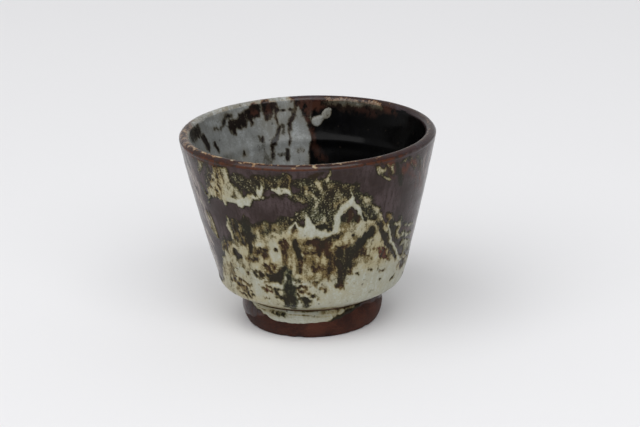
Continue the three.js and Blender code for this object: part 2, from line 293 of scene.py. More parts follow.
# Runs, drips and flecks on the outside: tone, softness of the edge, then one or more paths of
# (degrees from the front, height, half width)
outerStrokes = [
    # pale veils and gleams at the far left, partly streaked glaze and partly painted sheen where the wall
    # turns away, and the upper run left of the front
    ("veil", 4, [(-98, 85, 1.2), (-94, 76, 2.2), (-91, 66, 1.4), (-90, 58, 0.6)]),
    ("veil", 3.6, [(-87, 85, 2), (-84, 77, 2.6), (-80, 67, 2.2), (-77, 58, 1.6), (-75, 50, 0.8)]),
    ("veil", 3.4, [(-78, 85, 1), (-75, 78, 1.6), (-71, 68, 1.8), (-69, 60, 1), (-67, 52, 0.5)]),
    ("veil", 3, [(-69, 83, 0.8), (-66, 76, 1.3), (-63, 68, 1.6), (-62, 58, 1.4), (-62, 50, 0.7)]),
    ("veil", 3.6, [(-86, 58, 0.8), (-82, 48, 2.4), (-78, 39, 2.4), (-74, 31, 1.8), (-71, 25, 1)]),
    ("veil", 3.2, [(-95, 46, 0.6), (-90, 38, 1.6), (-86, 31, 2.2), (-83, 26, 1.6)]),
    ("veil", 3, [(-74, 50, 0.4), (-71, 42, 1.4), (-69, 34, 1.2), (-67, 28, 0.7)]),
    ("gleam", 3, [(-87, 69, 0.3), (-83, 63, 1), (-79, 57, 0.8), (-77, 52, 0.3)],
     [(-85, 55, 0.4), (-81, 48, 1.2), (-77, 41, 0.8), (-75, 37, 0.3)]),
    ("gleam", 3.2, [(-86, 39, 0.4), (-81, 32, 1.6), (-77, 26, 1.1)]),
    ("gleam", 2.4, [(-76, 39, 0.3), (-73, 33, 1), (-71, 27, 0.6)]),
    ("brown", 1.8, [(-62, 81, 1.2), (-56, 82.6, 1.2), (-50, 82.4, 1.2)]),
    ("purple", 2, [(-52, 80, 1.6), (-54, 75, 2), (-57, 72, 1.4)]),
    ("smoke", 2.6, [(-53.4, 81.4, 1.2), (-55.6, 79.6, 1.8), (-58, 77.4, 1.2)]),
    ("pepper", 2.6, [(-49.6, 80, 1), (-51.4, 75, 1.4), (-54, 70.6, 1)]),
    ("gleam", 2.8, [(-73, 75, 0.2), (-69.6, 73, 0.8), (-67.4, 70.8, 0.6), (-66, 68.4, 0.2)],
     [(-70.6, 66, 0.2), (-67.4, 63.8, 0.8), (-64.6, 61, 0.8), (-62.6, 58, 0.2)]),
    ("mottle", 2.2, [(-61.6, 58.4, 0.6), (-60, 54, 1.1), (-60, 48.6, 0.7)]),
    ("gleam", 1.8, [(-64, 56.4, 0.4), (-63, 53, 0.6), (-63, 49.6, 0.3)]),
    ("mottle", 1.4, [(-60, 70, 0.5), (-57, 67.6, 0.7), (-54, 65.6, 0.5)]),
    ("dark", 0.8, [(-60, 70.4, 0.4), (-57, 67.4, 0.5)]),
    ("amber", 1.4, [(-48, 84, 0.7), (-44, 82.9, 1), (-40.6, 83.2, 0.7)]),
    ("olive", 2, [(-43, 81.6, 2.4), (-43, 76, 3.4), (-43, 70, 4)]),
    ("mottle", 1.6, [(-45, 82, 1.2), (-45.6, 77, 2), (-47, 71.6, 3.4), (-47, 68.6, 2.8)],
     [(-42, 81.6, 1.2), (-42.2, 75, 1.8), (-42.4, 69, 2), (-42.2, 66.4, 1)]),
    ("mottle", 1.2, [(-50, 72, 1.4), (-52.6, 68.4, 1.4), (-54, 66.6, 0.8)]),
    ("bone", 1, [(-45.6, 80.6, 0.4), (-46.4, 76.6, 0.7), (-48, 72.6, 1), (-49.6, 69, 1.2)],
     [(-49.6, 69, 1.2), (-52.4, 66.2, 0.8), (-56, 62.8, 0.5)], [(-43, 68.4, 1.2), (-42.2, 65.8, 0.8)]),
    ("bone", 1.1,
     [(-38.4, 82, 0.8), (-38.2, 79.6, 1.7), (-38.2, 75.6, 1.9), (-38, 71.6, 2.1), (-39.4, 68.4, 1.9)]),
    ("bone", 1.6, [(-34.8, 73.4, 1.2), (-33.4, 70.6, 2), (-32.8, 68, 2)]),
    ("moss", 1.4, [(-36, 71.4, 0.5), (-35.6, 69, 0.6)]),
    ("olive", 1, [(-32, 72, 0.4), (-30.6, 70.4, 0.5)]),
    ("green", 0.9,
     [(-40, 67.4, 1), (-36, 67.2, 1.1), (-33, 66.4, 1.3), (-30, 67.4, 1.4), (-27.4, 69.4, 1.1)]),
    ("olive", 0.8, [(-44.4, 79.6, 0.5), (-44, 76.6, 0.5)]),
    ("spot", 0.6, [(-47.4, 75.6, 0.4)], [(-44.4, 73.6, 0.4), (-44, 71.6, 0.45)], [(-48.8, 71.8, 0.4)],
     [(-45.8, 70.4, 0.45)], [(-44, 68.4, 0.45)], [(-41, 78.6, 0.4), (-41, 76, 0.4)]),
    ("purple", 0.7, [(-47.5, 64.6, 1.7)], [(-38, 64.2, 1.7)]),
    ("gleam", 2.6, [(-72, 46, 0.3), (-68.6, 43.6, 0.7), (-66, 40.6, 0.3)]),
    # dark olive haze and the white patches in it
    ("pepper", 3.2, [(-33, 78, 2.4), (-28, 75.6, 3.2), (-20, 76.6, 3.2), (-15, 78.6, 2.4), (-10, 80, 1.8)]),
    ("moss", 2.4, [(-25, 79.4, 0.6), (-20, 79, 1), (-16, 78, 0.8)]),
    ("moss", 2, [(-14, 77.4, 1), (-11, 78.4, 1.4), (-9.6, 80, 0.8)]),
    ("green", 0.7, [(-30, 67.5, 1.4), (-27.4, 69.7, 1.1), (-24, 70.6, 0.5), (-20.4, 70.7, 0.35)]),
    ("cream", 0.7, [(-27.6, 70.4, 0.7), (-27.2, 71.6, 0.3)]),
    ("green", 0.7, [(-22.8, 71, 0.8), (-23.4, 74, 0.8), (-23.3, 76, 0.3)],
     [(-22.2, 73, 0.9), (-20.9, 74.6, 0.5), (-20.7, 75.9, 0.3)]),
    ("olive", 0.9, [(-19.6, 70.9, 0.4), (-15.6, 71.8, 0.4)]),
    ("green", 0.8, [(-15.4, 74.2, 0.9), (-12.5, 74, 1.7), (-9.6, 74.5, 1.6), (-8.1, 73.3, 0.8)]),
    ("honey", 0.8, [(-8.9, 76.5, 0.6), (-8.5, 80.6, 0.5)]),
    ("olive", 0.5, [(-11.7, 74.1, 0.35)]),
    ("dark", 0.7, [(-15.6, 71.6, 0.4), (-10.6, 71.2, 0.5), (-7.4, 71.2, 0.5)]),
    ("pepper", 3, [(-6, 77.6, 1.6), (2, 78, 2.4), (10, 76, 2.2), (20, 73.6, 1.6)],
     [(-6, 71, 1.6), (3, 71, 5), (10, 69, 5), (16, 70, 3.4)], [(-4, 64, 1.8), (3, 63.6, 4.4), (9, 61.6, 4)]),
    ("mottle", 1, [(-6.4, 72.4, 0.5), (-4.2, 70.6, 0.7), (-2.6, 69, 0.6)]),
    ("honey", 0.9, [(-1.6, 76.2, 0.6), (-1.8, 74.6, 0.8)]),
    ("cream", 0.7, [(-2.5, 73.7, 0.8), (-1.4, 72.4, 0.7)]),
    ("cream", 0.6, [(-1.6, 74, 0.6), (0.4, 73.8, 0.5), (1.5, 72.4, 0.5), (2.3, 70.7, 0.3)]),
    ("cream", 0.7, [(3.1, 78.6, 0.7), (4.2, 77.2, 1), (4.9, 75.8, 0.5)]),
    ("cream", 0.8, [(9, 82.2, 0.6), (8.6, 80.4, 0.7), (8.3, 79.2, 0.8)]),
    ("mottle", 1, [(3.6, 68, 0.5), (2.4, 66, 0.5)]),
    ("brown", 1.8, [(1, 81, 0.9), (5.4, 82, 0.8)]),
    ("moss", 2.4, [(9, 75.6, 0.8), (16, 74.6, 0.8), (22, 75, 0.5)]),
    # crumbs by the rim on the right, and the streaks at the far right; the veils and gleams among them are
    # partly painted sheen where the wall turns away
    ("rust", 1.4, [(33.6, 84, 1), (37, 82.4, 1.7), (39, 78.6, 1.7), (40.4, 75, 1)]),
    ("spot", 0.8, [(34.6, 83.4, 0.6), (36.6, 80.6, 0.8), (38.4, 77.4, 0.8)]),
    ("cream", 0.8, [(29.8, 81.4, 0.5), (31.6, 80.2, 1.3), (33.4, 79.4, 1.3)]),
    ("mottle", 0.8, [(31.6, 83, 0.5), (33.4, 82.6, 0.5)]),
    ("mottle", 0.7, [(33.6, 77.6, 0.5), (36, 75.6, 0.5), (38.4, 74.4, 0.5)],
     [(36.6, 82, 0.4), (38.8, 80, 0.4), (39.8, 77, 0.4)]),
    ("rust", 2.6, [(45.4, 75.8, 1.2), (48, 77, 1.8), (50.4, 78.6, 1)]),
    ("moss", 1.6, [(46, 81, 0.8), (48.6, 81.6, 0.7)]),
    ("plum", 1.6, [(52.6, 74.4, 0.7), (55.6, 72, 0.9), (59, 69.4, 0.7)]),
    ("dark", 1.6, [(42, 80.4, 1), (44, 76, 1.2), (46, 71, 0.9)]),
    ("smoke", 1.4, [(50.6, 82, 0.7), (53, 79, 1), (55.6, 75.6, 0.8)]),
    ("rust", 1.4, [(52, 80.4, 0.5), (55, 77.6, 0.7), (58, 74.6, 0.5)]),
    ("dark", 1.4, [(56, 80.6, 0.7), (60, 77.6, 0.9), (64, 74.6, 0.7)]),
    ("plum", 1.4, [(58, 76, 0.5), (63, 73.6, 0.8), (68, 70.4, 0.7), (72, 67.6, 0.5)]),
    ("veil", 3.4, [(80, 85, 1.6), (76, 79, 1.6), (73, 73, 1), (72, 68, 0.4)]),
    ("veil", 3, [(90, 72, 0.5), (86, 65, 1.4), (81, 58, 1.2), (79, 53, 0.4)]),
    ("veil", 3.2, [(86, 57, 0.5), (79, 48, 1.6), (72, 40, 1.8), (67, 34, 1.2)]),
    ("umber", 1.8, [(57, 76, 0.6), (62, 73.6, 1), (66, 71.6, 0.6)]),
    ("veil", 2, [(66, 82, 0.4), (65, 77, 0.9), (66, 73.4, 0.8), (68, 70, 0.4)]),
    ("ochre", 1.4, [(59.6, 77.6, 0.3), (61, 76, 0.6), (62, 74.6, 0.3)]),
    ("veil", 2, [(72, 75, 0.4), (71, 70, 0.9), (73, 65, 0.6)]),
    ("rust", 1.6, [(62, 71.4, 0.4), (65, 68.6, 0.7), (68, 66, 0.4)]),
    ("plum", 2.2, [(60, 67, 0.6), (67, 64, 1.4), (73, 61, 1)]),
    ("gleam", 2.6, [(84, 52, 0.2), (79, 46, 0.7), (75, 41.6, 0.4)]),
    ("gleam", 1.4, [(59.6, 49.8, 0.3), (64, 48.8, 0.4), (69, 47.4, 0.3)]),
    ("gleam", 1.6, [(58, 43.6, 0.3), (62, 42, 0.6), (67, 39.6, 0.5)]),
    ("plum", 1.6, [(66, 50.4, 0.4), (61, 46.4, 0.9), (56.6, 44, 0.5)]),
    ("umber", 1, [(57, 47.2, 0.5), (60, 47.6, 0.5)]),
    # white sweep that climbs and falls again
    ("pepper", 2.4, [(-15, 59.6, 2), (-8, 60.8, 2), (-4, 62.6, 1.6)]),
    ("moss", 2, [(-16, 58, 1.4), (-11.6, 58.6, 1.2)]),
    ("ochre", 2.4, [(-26, 55.6, 1.2), (-22.6, 56.6, 1.6), (-18, 57, 1.8)]),
    ("olive", 1.2, [(-21.6, 57.6, 0.5), (-20.8, 54.4, 0.6)]),
    ("umber", 0.9, [(-7.6, 55.4, 0.7), (-5.6, 55, 0.6)]),
    ("white", 0.7,
     [(-9.6, 55, 0.5), (-8.2, 57.8, 0.6), (-6.8, 59.8, 0.4), (-5.4, 57.4, 0.6), (-3.8, 55.2, 1)]),
    ("mottle", 0.7, [(-8.7, 61.4, 0.4)]),
    ("white", 0.7, [(-1, 62.3, 0.4), (-1, 60, 1.1), (-0.4, 57.4, 2.1), (0.6, 55.6, 2.2)]),
    ("white", 0.6, [(0.6, 55.4, 2), (3.6, 54.6, 1.2), (7, 53.6, 0.8), (10, 53.8, 0.8), (12, 55.4, 1.2)]),
    ("white", 0.7, [(12, 55.4, 1.2), (12.9, 58.4, 1.6), (13.2, 62, 1.5), (14.6, 65, 1.5), (16.6, 66.8, 1.4)],
     [(16.6, 66.8, 1.4), (19.4, 67, 1.5)],
     [(19.4, 67, 1.5), (21.2, 65.8, 1.3), (22.6, 64, 1.2), (24, 61.4, 1), (25.4, 58.8, 0.5)],
     [(25.4, 58.8, 0.5), (26.2, 57.4, 0.4)]),
    ("white", 0.6, [(20.2, 67.6, 1), (19.9, 70.6, 0.7), (19, 73.2, 0.3)]),
    ("mottle", 1.2, [(15.6, 64.4, 0.7), (18.4, 65.4, 0.6)]),
    ("mottle", 1.4, [(11.4, 66.4, 0.6), (13.4, 68, 0.8), (16.2, 69, 0.7)]),
    ("spot", 0.5, [(14.8, 68.2, 0.4), (16.4, 68.4, 0.3)]),
    ("ochre", 1.2, [(15.6, 57.4, 1), (18.4, 56.6, 1.1)]),
    ("umber", 0.8, [(18.4, 63.2, 0.9), (19.2, 60.4, 1.4), (19, 58.4, 0.9)]),
    ("umber", 0.7, [(23.3, 59.6, 0.7), (24.3, 57.9, 0.8)]),
    ("dark", 0.7, [(5.2, 57.4, 0.4), (7, 56.2, 0.8), (9.2, 55.9, 0.9)]),
    ("mottle", 1.2, [(3.4, 58.6, 0.6), (5.6, 60.4, 0.7)]),
    ("cream", 0.6, [(6.2, 62, 0.4), (7, 60.2, 0.5), (7.5, 58.4, 0.4)]),
    # speckled dome with a pale line over it
    ("pepper", 2.2, [(21.6, 72.4, 0.8), (24, 69.4, 2), (27, 66, 2.8), (30, 62, 2.8), (31, 59, 1.8)]),
    ("mottle", 0.8, [(23.2, 70.8, 0.3), (25, 68, 0.4)], [(25.2, 66.6, 0.3), (27.4, 64.8, 0.3)]),
    ("mottle", 0.7, [(28.6, 62.6, 0.3), (30, 60.6, 0.3)]),
    ("mottle", 0.9, [(25.6, 62.4, 0.4), (27.2, 60.4, 0.4)]),
    ("cream", 0.8, [(24.6, 69, 0.3), (28, 66.7, 0.4), (31, 64.1, 0.5), (33.6, 61.6, 0.7), (35.4, 59, 0.6)]),
    ("cream", 0.7, [(35.4, 59, 0.6), (37, 56.4, 0.8), (38.6, 53.6, 0.7), (40.6, 50.4, 0.5)]),
    ("cream", 0.9, [(26.6, 56.4, 1), (31, 56.2, 1.1), (34.6, 57, 0.8)]),
    ("dark", 0.6, [(26.6, 58.2, 0.4), (29.6, 57.9, 0.5), (32.6, 58.5, 0.4)]),
    ("spot", 0.5, [(28.8, 56.1, 0.35)]),
    # left of the front, below the purple band
    ("smoke", 1.8, [(-58.6, 57, 0.8), (-57, 52, 1), (-58, 46.6, 0.8)]),
    ("cream", 1, [(-58, 55.4, 0.4), (-56.4, 51, 0.6), (-57, 47, 0.4)]),
    ("purple", 1.4, [(-50, 60, 2.4), (-50.4, 52, 2.6), (-49, 48.6, 1.4)]),
    ("olive", 1.8, [(-50, 47, 1.4), (-53.6, 43.6, 1.6)]),
    ("ochre", 1.6, [(-46, 46, 1), (-50, 43.6, 1.2), (-54, 41.4, 1)]),
    ("brown", 1, [(-47.6, 45, 0.5), (-51, 42.4, 0.6)]),
    ("cream", 0.9,
     [(-44.2, 58.4, 0.6), (-44, 54.6, 0.8), (-43, 51, 0.9), (-41, 48.2, 1), (-38.6, 46.6, 0.8)]),
    ("olive", 0.9, [(-42.2, 57.4, 0.6), (-41.6, 53, 0.8), (-39.6, 49, 0.7), (-37.4, 46.8, 0.5)]),
    ("ochre", 1.2, [(-40.6, 57.4, 0.8), (-39.8, 53, 1), (-38.2, 49.6, 0.8), (-36.4, 47.4, 0.6)]),
    ("dark", 0.9, [(-38.6, 57.8, 0.6), (-37.8, 53, 0.7), (-36.4, 49, 0.6), (-35, 46.8, 0.4)]),
    ("honey", 1, [(-36.2, 57.8, 0.5), (-36, 54, 0.6), (-35, 50, 0.5), (-33.8, 47, 0.5)]),
    ("dark", 1.3, [(-32.6, 59, 1.6), (-32.4, 51, 1.9), (-31.8, 46, 1.4), (-32.6, 43, 0.9)]),
    ("olive", 1.4, [(-29, 55.6, 0.9), (-29, 49, 0.7)]),
    ("cream", 1.2, [(-37, 44.4, 1.3), (-37, 41.4, 1.5)]),
    ("dark", 1, [(-42.8, 43.2, 1.1), (-42, 41, 1.9), (-43, 38.8, 1.1)]),
    ("brown", 1.4, [(-36, 40.2, 0.8), (-31.4, 39.9, 1), (-28, 41, 0.7)]),
    ("umber", 1, [(-34.6, 39.9, 0.5), (-30.4, 40, 0.7)]),
    ("cream", 1.2, [(-45, 39.6, 1), (-49, 37.8, 1.1), (-55, 36, 0.9)]),
    ("brown", 1.2, [(-48, 37.4, 0.5)]),
    ("ochre", 1.4, [(-46, 36, 0.7), (-51, 34.4, 0.9), (-57, 32.6, 0.7)]),
    ("honey", 2.2, [(-52, 31, 2.2), (-58, 29, 2)]),
    ("green", 1.6, [(-43, 33.6, 1.2), (-41, 32.4, 1)]),
    # cream fan with its drips
    ("honey", 1.6, [(-28, 53.6, 1.2), (-23.6, 52.4, 1.4)]),
    ("brown", 1.8, [(-30.4, 43.8, 0.9), (-26.6, 44.8, 1.2), (-23.6, 43, 1.3)]),
    ("cream", 0.9,
     [(-29.4, 47.2, 0.8), (-25, 48.8, 1.2), (-21, 50.4, 1.5), (-17, 51.8, 1.6), (-12.8, 53.4, 1)]),
    ("white", 1, [(-26.6, 48.2, 0.5), (-24.6, 48.6, 0.6)]),
    ("moss", 0.8, [(-19.6, 52, 0.4), (-17.8, 53, 0.4)]),
    ("green", 1.6, [(-18.6, 49, 2.2), (-18.4, 45, 2.2), (-18.2, 42.4, 1.6)]),
    ("umber", 0.8, [(-25.6, 46.2, 0.4), (-23.6, 46.4, 0.6), (-21.8, 46.8, 0.4)]),
    ("umber", 0.9, [(-24.4, 42.6, 0.7)]),
    ("spot", 0.9, [(-17.7, 46.7, 0.6)]),
    ("honey", 1, [(-10.4, 52, 1), (-10.2, 47, 0.9), (-10.4, 40, 1), (-10.6, 35.5, 1)]),
    ("umber", 1.2, [(-14.6, 50.4, 0.9), (-13.2, 50.8, 1.4), (-13.3, 47.6, 1.3), (-13.4, 44.6, 0.9)]),
    ("brown", 1.2, [(-13.4, 44.6, 0.8), (-13.6, 39.4, 0.8)]),
    ("dark", 1, [(-14, 38.8, 0.6), (-14.2, 36.8, 1.1)]),
    ("dark", 1.1, [(-7.6, 50.6, 1.2), (-7, 47.4, 1.7), (-6.2, 44, 1.4), (-5.8, 41.4, 1.1)]),
    ("umber", 1.1, [(-5.8, 41, 0.9), (-6, 37, 0.9)]),
    ("ochre", 1.4, [(-3.4, 50, 0.8), (-2.6, 45, 1.2), (-2.8, 42.6, 0.8)]),
    ("brown", 1.2, [(-3.6, 46.4, 0.5), (-2.6, 44, 0.5)]),
    ("green", 0.9, [(-4.8, 53.8, 1.2), (-2.4, 53.8, 1)]),
    ("cream", 1.2, [(-2.6, 40, 1.2), (-2.8, 37.4, 1.2)]),
    # brown bar and the mottled ground under it
    ("ochre", 2.8, [(0, 42, 2.4), (5, 38, 3.4), (5, 33, 2.6)]),
    ("brown", 2.4, [(8.4, 36.6, 1.6), (8.8, 33, 1.4)]),
    ("umber", 1, [(0, 50.6, 1.8), (4, 49.8, 2.6), (8, 49, 2.8)]),
    ("umber", 1.2, [(3.6, 47.6, 1.8), (7.6, 46.4, 2.4), (8.6, 44.6, 1.6)]),
    ("dark", 1.2, [(9.6, 51.4, 1), (12, 52.4, 0.9), (14.4, 53.4, 0.5)]),
    ("brown", 2, [(1, 46, 1.2), (4, 44.6, 1.2)]),
    ("honey", 1.4, [(1.8, 42.2, 1), (3, 41, 1)]),
    ("umber", 1, [(0.2, 38.6, 0.6), (0.8, 36.8, 0.8), (4.6, 36.6, 0.7), (6.4, 38.6, 0.7)],
     [(3.6, 40, 0.5), (4, 37.6, 0.6)]),
    ("cream", 1.2, [(3, 34.6, 1), (3.6, 32.8, 1)]),
    ("honey", 1.4, [(-4.4, 33.6, 1.4), (-0.6, 33, 1.4)]),
    ("brown", 1.2, [(0.6, 30.4, 0.7), (2.4, 29.8, 0.7)]),
    ("brown", 1.4, [(5.4, 28.6, 0.6), (7.2, 28, 1), (7.6, 26.4, 0.6)]),
    ("brown", 1.8, [(10, 41.6, 1.1), (10.6, 37.6, 1.2)]),
    # large dark drip that falls from the right
    ("cream", 1, [(11, 46.4, 0.9), (13, 48.6, 1.1), (16, 50.8, 1.5), (20, 52.6, 1.6), (25, 55, 1.3)]),
    ("brown", 1, [(12.4, 48.2, 0.4), (14, 47, 0.6)]),
    ("umber", 1.1, [(17, 47, 0.9), (19.4, 47.4, 0.8)]),
    ("spot", 0.7, [(20.8, 52.1, 0.45)]),
    ("brown", 2.6, [(12, 44.6, 1.4), (11.6, 40, 1.6), (12.4, 36.4, 1.2)],
     [(26, 45.6, 1.4), (24, 41.6, 1.8), (23.4, 37.6, 1.5), (21, 34.4, 0.9)]),
    ("dark", 1.4, [(33, 52.6, 1.8), (31, 51.4, 2.2), (27.6, 49.6, 2.2), (24, 46.8, 2.3), (20.6, 44, 2.8)],
     [(20.6, 44, 2.8), (18, 41.6, 3.4), (17.2, 38, 3.4), (16.8, 35, 2.4), (16.2, 32, 1.6)],
     [(16.2, 32, 1.6), (15.8, 29.8, 1.2)]),
    ("dark", 1.2, [(14.4, 45.6, 1.2), (14.8, 43, 1.9), (15.2, 40, 2.2), (15.6, 37, 1.8)]),
    ("umber", 1.3, [(13, 28.6, 0.8), (15.8, 28.8, 1.3), (17.2, 27.4, 1.3)]),
    ("brown", 1.2, [(27.4, 44.4, 1.1), (27.6, 42.2, 1.2)]),
    # cream wedge, dark wipe and the bright lines beside it
    ("cream", 1, [(30, 47, 1), (34, 48, 1.3), (36, 46, 1.2), (33, 45, 0.9)]),
    ("umber", 0.8, [(33.4, 42.9, 0.5), (35, 43, 0.5)], [(30.4, 40.4, 0.6)]),
    ("honey", 1.4, [(25, 39.6, 1), (29, 38.4, 1.2), (33, 38.6, 1)]),
    ("cream", 1.2, [(26.6, 36.4, 0.8), (31, 36.8, 0.9), (35, 37.4, 0.7)]),
    ("ochre", 2.2, [(40.6, 58.4, 1), (42.6, 56.6, 1.5), (44, 54.4, 1.2)]),
    ("honey", 1.2, [(42.4, 57, 0.5), (43, 55.4, 0.6)]),
    ("olive", 2, [(50, 53.6, 0.9), (54, 51.4, 0.8)]),
    ("dark", 0.8, [(33.6, 57.4, 0.5), (35.4, 54, 0.9), (37.4, 51, 1.1), (39.8, 47.8, 1.3), (42.6, 45, 1.3)],
     [(42.6, 45, 1.3), (46, 41.4, 1.2), (50, 38, 1.2), (54.6, 34.8, 0.8)]),
    ("cream", 0.7, [(33.6, 54.4, 0.3), (35.4, 50.6, 0.4), (38, 46.8, 0.4)]),
    ("dark", 1, [(43.6, 54, 0.9), (46, 51, 1.3), (48.6, 47.4, 1.2), (51, 44, 1), (53, 41.6, 0.7)]),
    ("honey", 0.9, [(41, 53.4, 0.5), (41.4, 51.4, 0.5)]),
    ("white", 0.7, [(42, 52.4, 0.4), (43.6, 48.4, 0.6), (46, 44.8, 0.7), (48.4, 42, 0.7), (51, 39.4, 0.5)],
     [(51, 39.4, 0.5), (54, 36.6, 0.6), (57.4, 34, 0.8), (60.4, 31.6, 0.5)]),
    ("cream", 0.8,
     [(47.6, 52, 0.5), (49.6, 51.6, 0.8), (51.4, 50.2, 0.9), (50.2, 48.4, 0.7), (49.8, 46.8, 0.5)],
     [(49.8, 46.8, 0.5), (51.6, 45.4, 0.5), (53.6, 44.2, 0.4)]),
    ("spot", 0.6, [(51.5, 47.2, 0.4)]),
    ("smoke", 2, [(54, 45.4, 0.9), (60, 44.6, 1.4), (68, 42, 1.4)]),
    ("blush", 2, [(54.4, 44.6, 0.6), (59, 44, 0.9), (66, 43, 0.8)]),
    ("plum", 1.2, [(56, 48.4, 0.6), (60, 47, 0.9), (65, 45.4, 0.7)]),
    ("blush", 2.4, [(57, 50, 0.5), (62, 48.6, 0.8), (68, 46.6, 0.8)]),
    ("smoke", 2.2, [(57, 40.6, 1.4), (64, 38, 2.2), (72, 35, 2)]),
    ("blush", 2.4, [(58, 41.4, 0.6), (64, 38.6, 1), (70, 36, 0.8)]),
    ("mottle", 1.6, [(60, 34.6, 1), (66, 32, 1.4), (74, 29, 1.2)]),
    ("brown", 1.8, [(58, 29.6, 0.8), (66, 27.4, 1)]),
    # clusters of dark specks above the shoulder
    ("spot", 0.8, [(-33.4, 33.6, 0.8), (-31.6, 32.4, 0.8)]),
    ("spot", 0.7, [(-31, 34.6, 0.5), (-29, 34.4, 0.7), (-27.6, 33, 0.9)]),
    ("spot", 0.6, [(-29.4, 31.6, 0.5)]),
    ("brown", 0.8, [(-37.2, 33.2, 0.5)]),
    ("umber", 0.9, [(-24.4, 38.6, 0.9), (-23.4, 36.4, 1.3)]),
    ("umber", 0.8, [(-20.8, 39.8, 0.8), (-20, 38.2, 0.8)], [(-18, 39, 0.5)]),
    ("brown", 1.2, [(-17, 37, 0.8)]),
    ("dark", 1.2, [(-25.4, 33.6, 0.9), (-22, 33, 1.8), (-18, 33, 2.3), (-15.4, 34.4, 1.3)]),
    ("dark", 1, [(-24, 31.2, 0.8), (-19, 31.2, 0.9)]),
    ("slate", 1.2, [(-12, 35.4, 1.2), (-12.8, 32, 1.6), (-13, 29.6, 2.4), (-13.2, 26, 3), (-13, 22.6, 3)],
     [(-13, 22.6, 3), (-13, 19.4, 2.6), (-13.4, 17, 1.6)]),
    ("dark", 1, [(-20.4, 23.4, 0.7), (-16.6, 22.8, 1.6), (-13, 21.8, 2)]),
    ("dark", 0.7, [(-21, 27.4, 0.4), (-18.4, 26.8, 0.5), (-16.4, 26.6, 0.6)],
     [(-21.6, 27, 0.5), (-21.4, 24.4, 0.7)]),
    ("cream", 0.8, [(-19.4, 25.4, 0.7)]),
    ("white", 0.8, [(-22, 29.2, 0.6), (-19.4, 29.4, 0.5)]),
    ("umber", 0.8, [(-8.4, 28.4, 0.7), (-6.4, 29.4, 0.9), (-4.6, 28.6, 0.7)],
     [(-6.8, 27, 0.6), (-5.4, 26.2, 0.8)]),
    ("umber", 0.7, [(-3, 26, 0.6), (-2.2, 25.6, 0.7)], [(-3.4, 29, 0.6), (-2.6, 27.6, 0.5)]),
    ("spot", 0.6, [(-8.6, 25.6, 0.5), (-7.4, 24.6, 0.5)]),
    ("olive", 1, [(-9, 32.6, 0.7), (-7, 32, 0.8)]),
    ("dark", 0.9, [(-5.6, 23.2, 0.9), (-3.6, 22.2, 1.6), (-1.6, 21.8, 1)]),
    ("dark", 1, [(-3.6, 22, 1.5), (-3.4, 19, 1.4)]),
    ("spot", 0.9, [(0.8, 24.4, 0.9)]),
    ("spot", 0.8, [(3.6, 22.6, 0.7)]),
    ("umber", 0.8, [(-29, 27.4, 0.5), (-27, 26.4, 0.7)], [(-26.6, 28.4, 0.5), (-24, 28.2, 0.7)]),
    ("rust", 0.9, [(-26.8, 27, 0.6), (-24, 25.8, 0.6)]),
    ("cream", 0.7, [(-25, 26.8, 0.6)]),
    ("umber", 0.8, [(-54, 26.4, 0.6), (-50.8, 27, 0.8)], [(-46, 27.6, 0.5), (-41.4, 27.8, 0.7)],
     [(-49, 25.8, 0.5), (-45, 25.2, 0.6), (-41.4, 25.2, 0.6)]),
    ("brown", 0.9, [(-39.4, 27.2, 0.6), (-37, 27.4, 0.5)]),
    ("spot", 0.7, [(-38.2, 24.7, 0.5)]),
    ("dark", 0.8, [(-37, 22.4, 0.8)], [(-41, 22.6, 0.6), (-40, 21.4, 0.7)]),
    ("brown", 0.9, [(-47.4, 21.6, 0.4), (-44, 21, 0.5)]),
    ("ochre", 1.2, [(-49, 23.4, 0.5), (-43, 23.8, 0.6)]),
    ("green", 1.4, [(-32.6, 27.6, 1.2), (-33, 23.4, 1.8)]),
    # small dots on the plain grey-green
    ("ochre", 2.2, [(38.6, 42, 1.4), (42.4, 39.8, 1.6), (45.4, 37.4, 0.9)]),
    ("rust", 0.4, [(38.4, 42.6, 0.5)], [(40, 42.8, 0.5), (41.6, 41.6, 0.5)], [(39.4, 40.8, 0.6)],
     [(41, 40, 0.5), (42.8, 40.6, 0.5)], [(40, 38.6, 0.6), (41.8, 38.4, 0.5)], [(43.6, 39, 0.5)],
     [(44.6, 37.2, 0.5), (42.6, 37, 0.5)], [(45.8, 36, 0.5)]),
    ("spot", 0.5, [(47.6, 35.2, 0.35)]),
    ("umber", 0.7, [(41.8, 30.9, 0.6), (44.6, 31.3, 0.4)]),
    ("brown", 0.7, [(39.2, 32.3, 0.35)]),
    ("spot", 0.5, [(42.7, 27, 0.4)]),
    ("spot", 0.8, [(54.6, 25.1, 0.5), (56.6, 25.2, 0.6)]),
    ("spot", 0.6, [(23.6, 29, 0.35)]),
    ("brown", 0.9, [(22, 33.4, 0.6)]),
    ("spot", 0.7, [(26.2, 33.1, 0.6)]),
    ("spot", 0.6, [(32.6, 33, 0.4), (34.6, 32.9, 0.4)]),
    ("olive", 1, [(36.8, 22.7, 0.7)]),
    ("olive", 0.8, [(20.2, 30.8, 0.5)]),
]

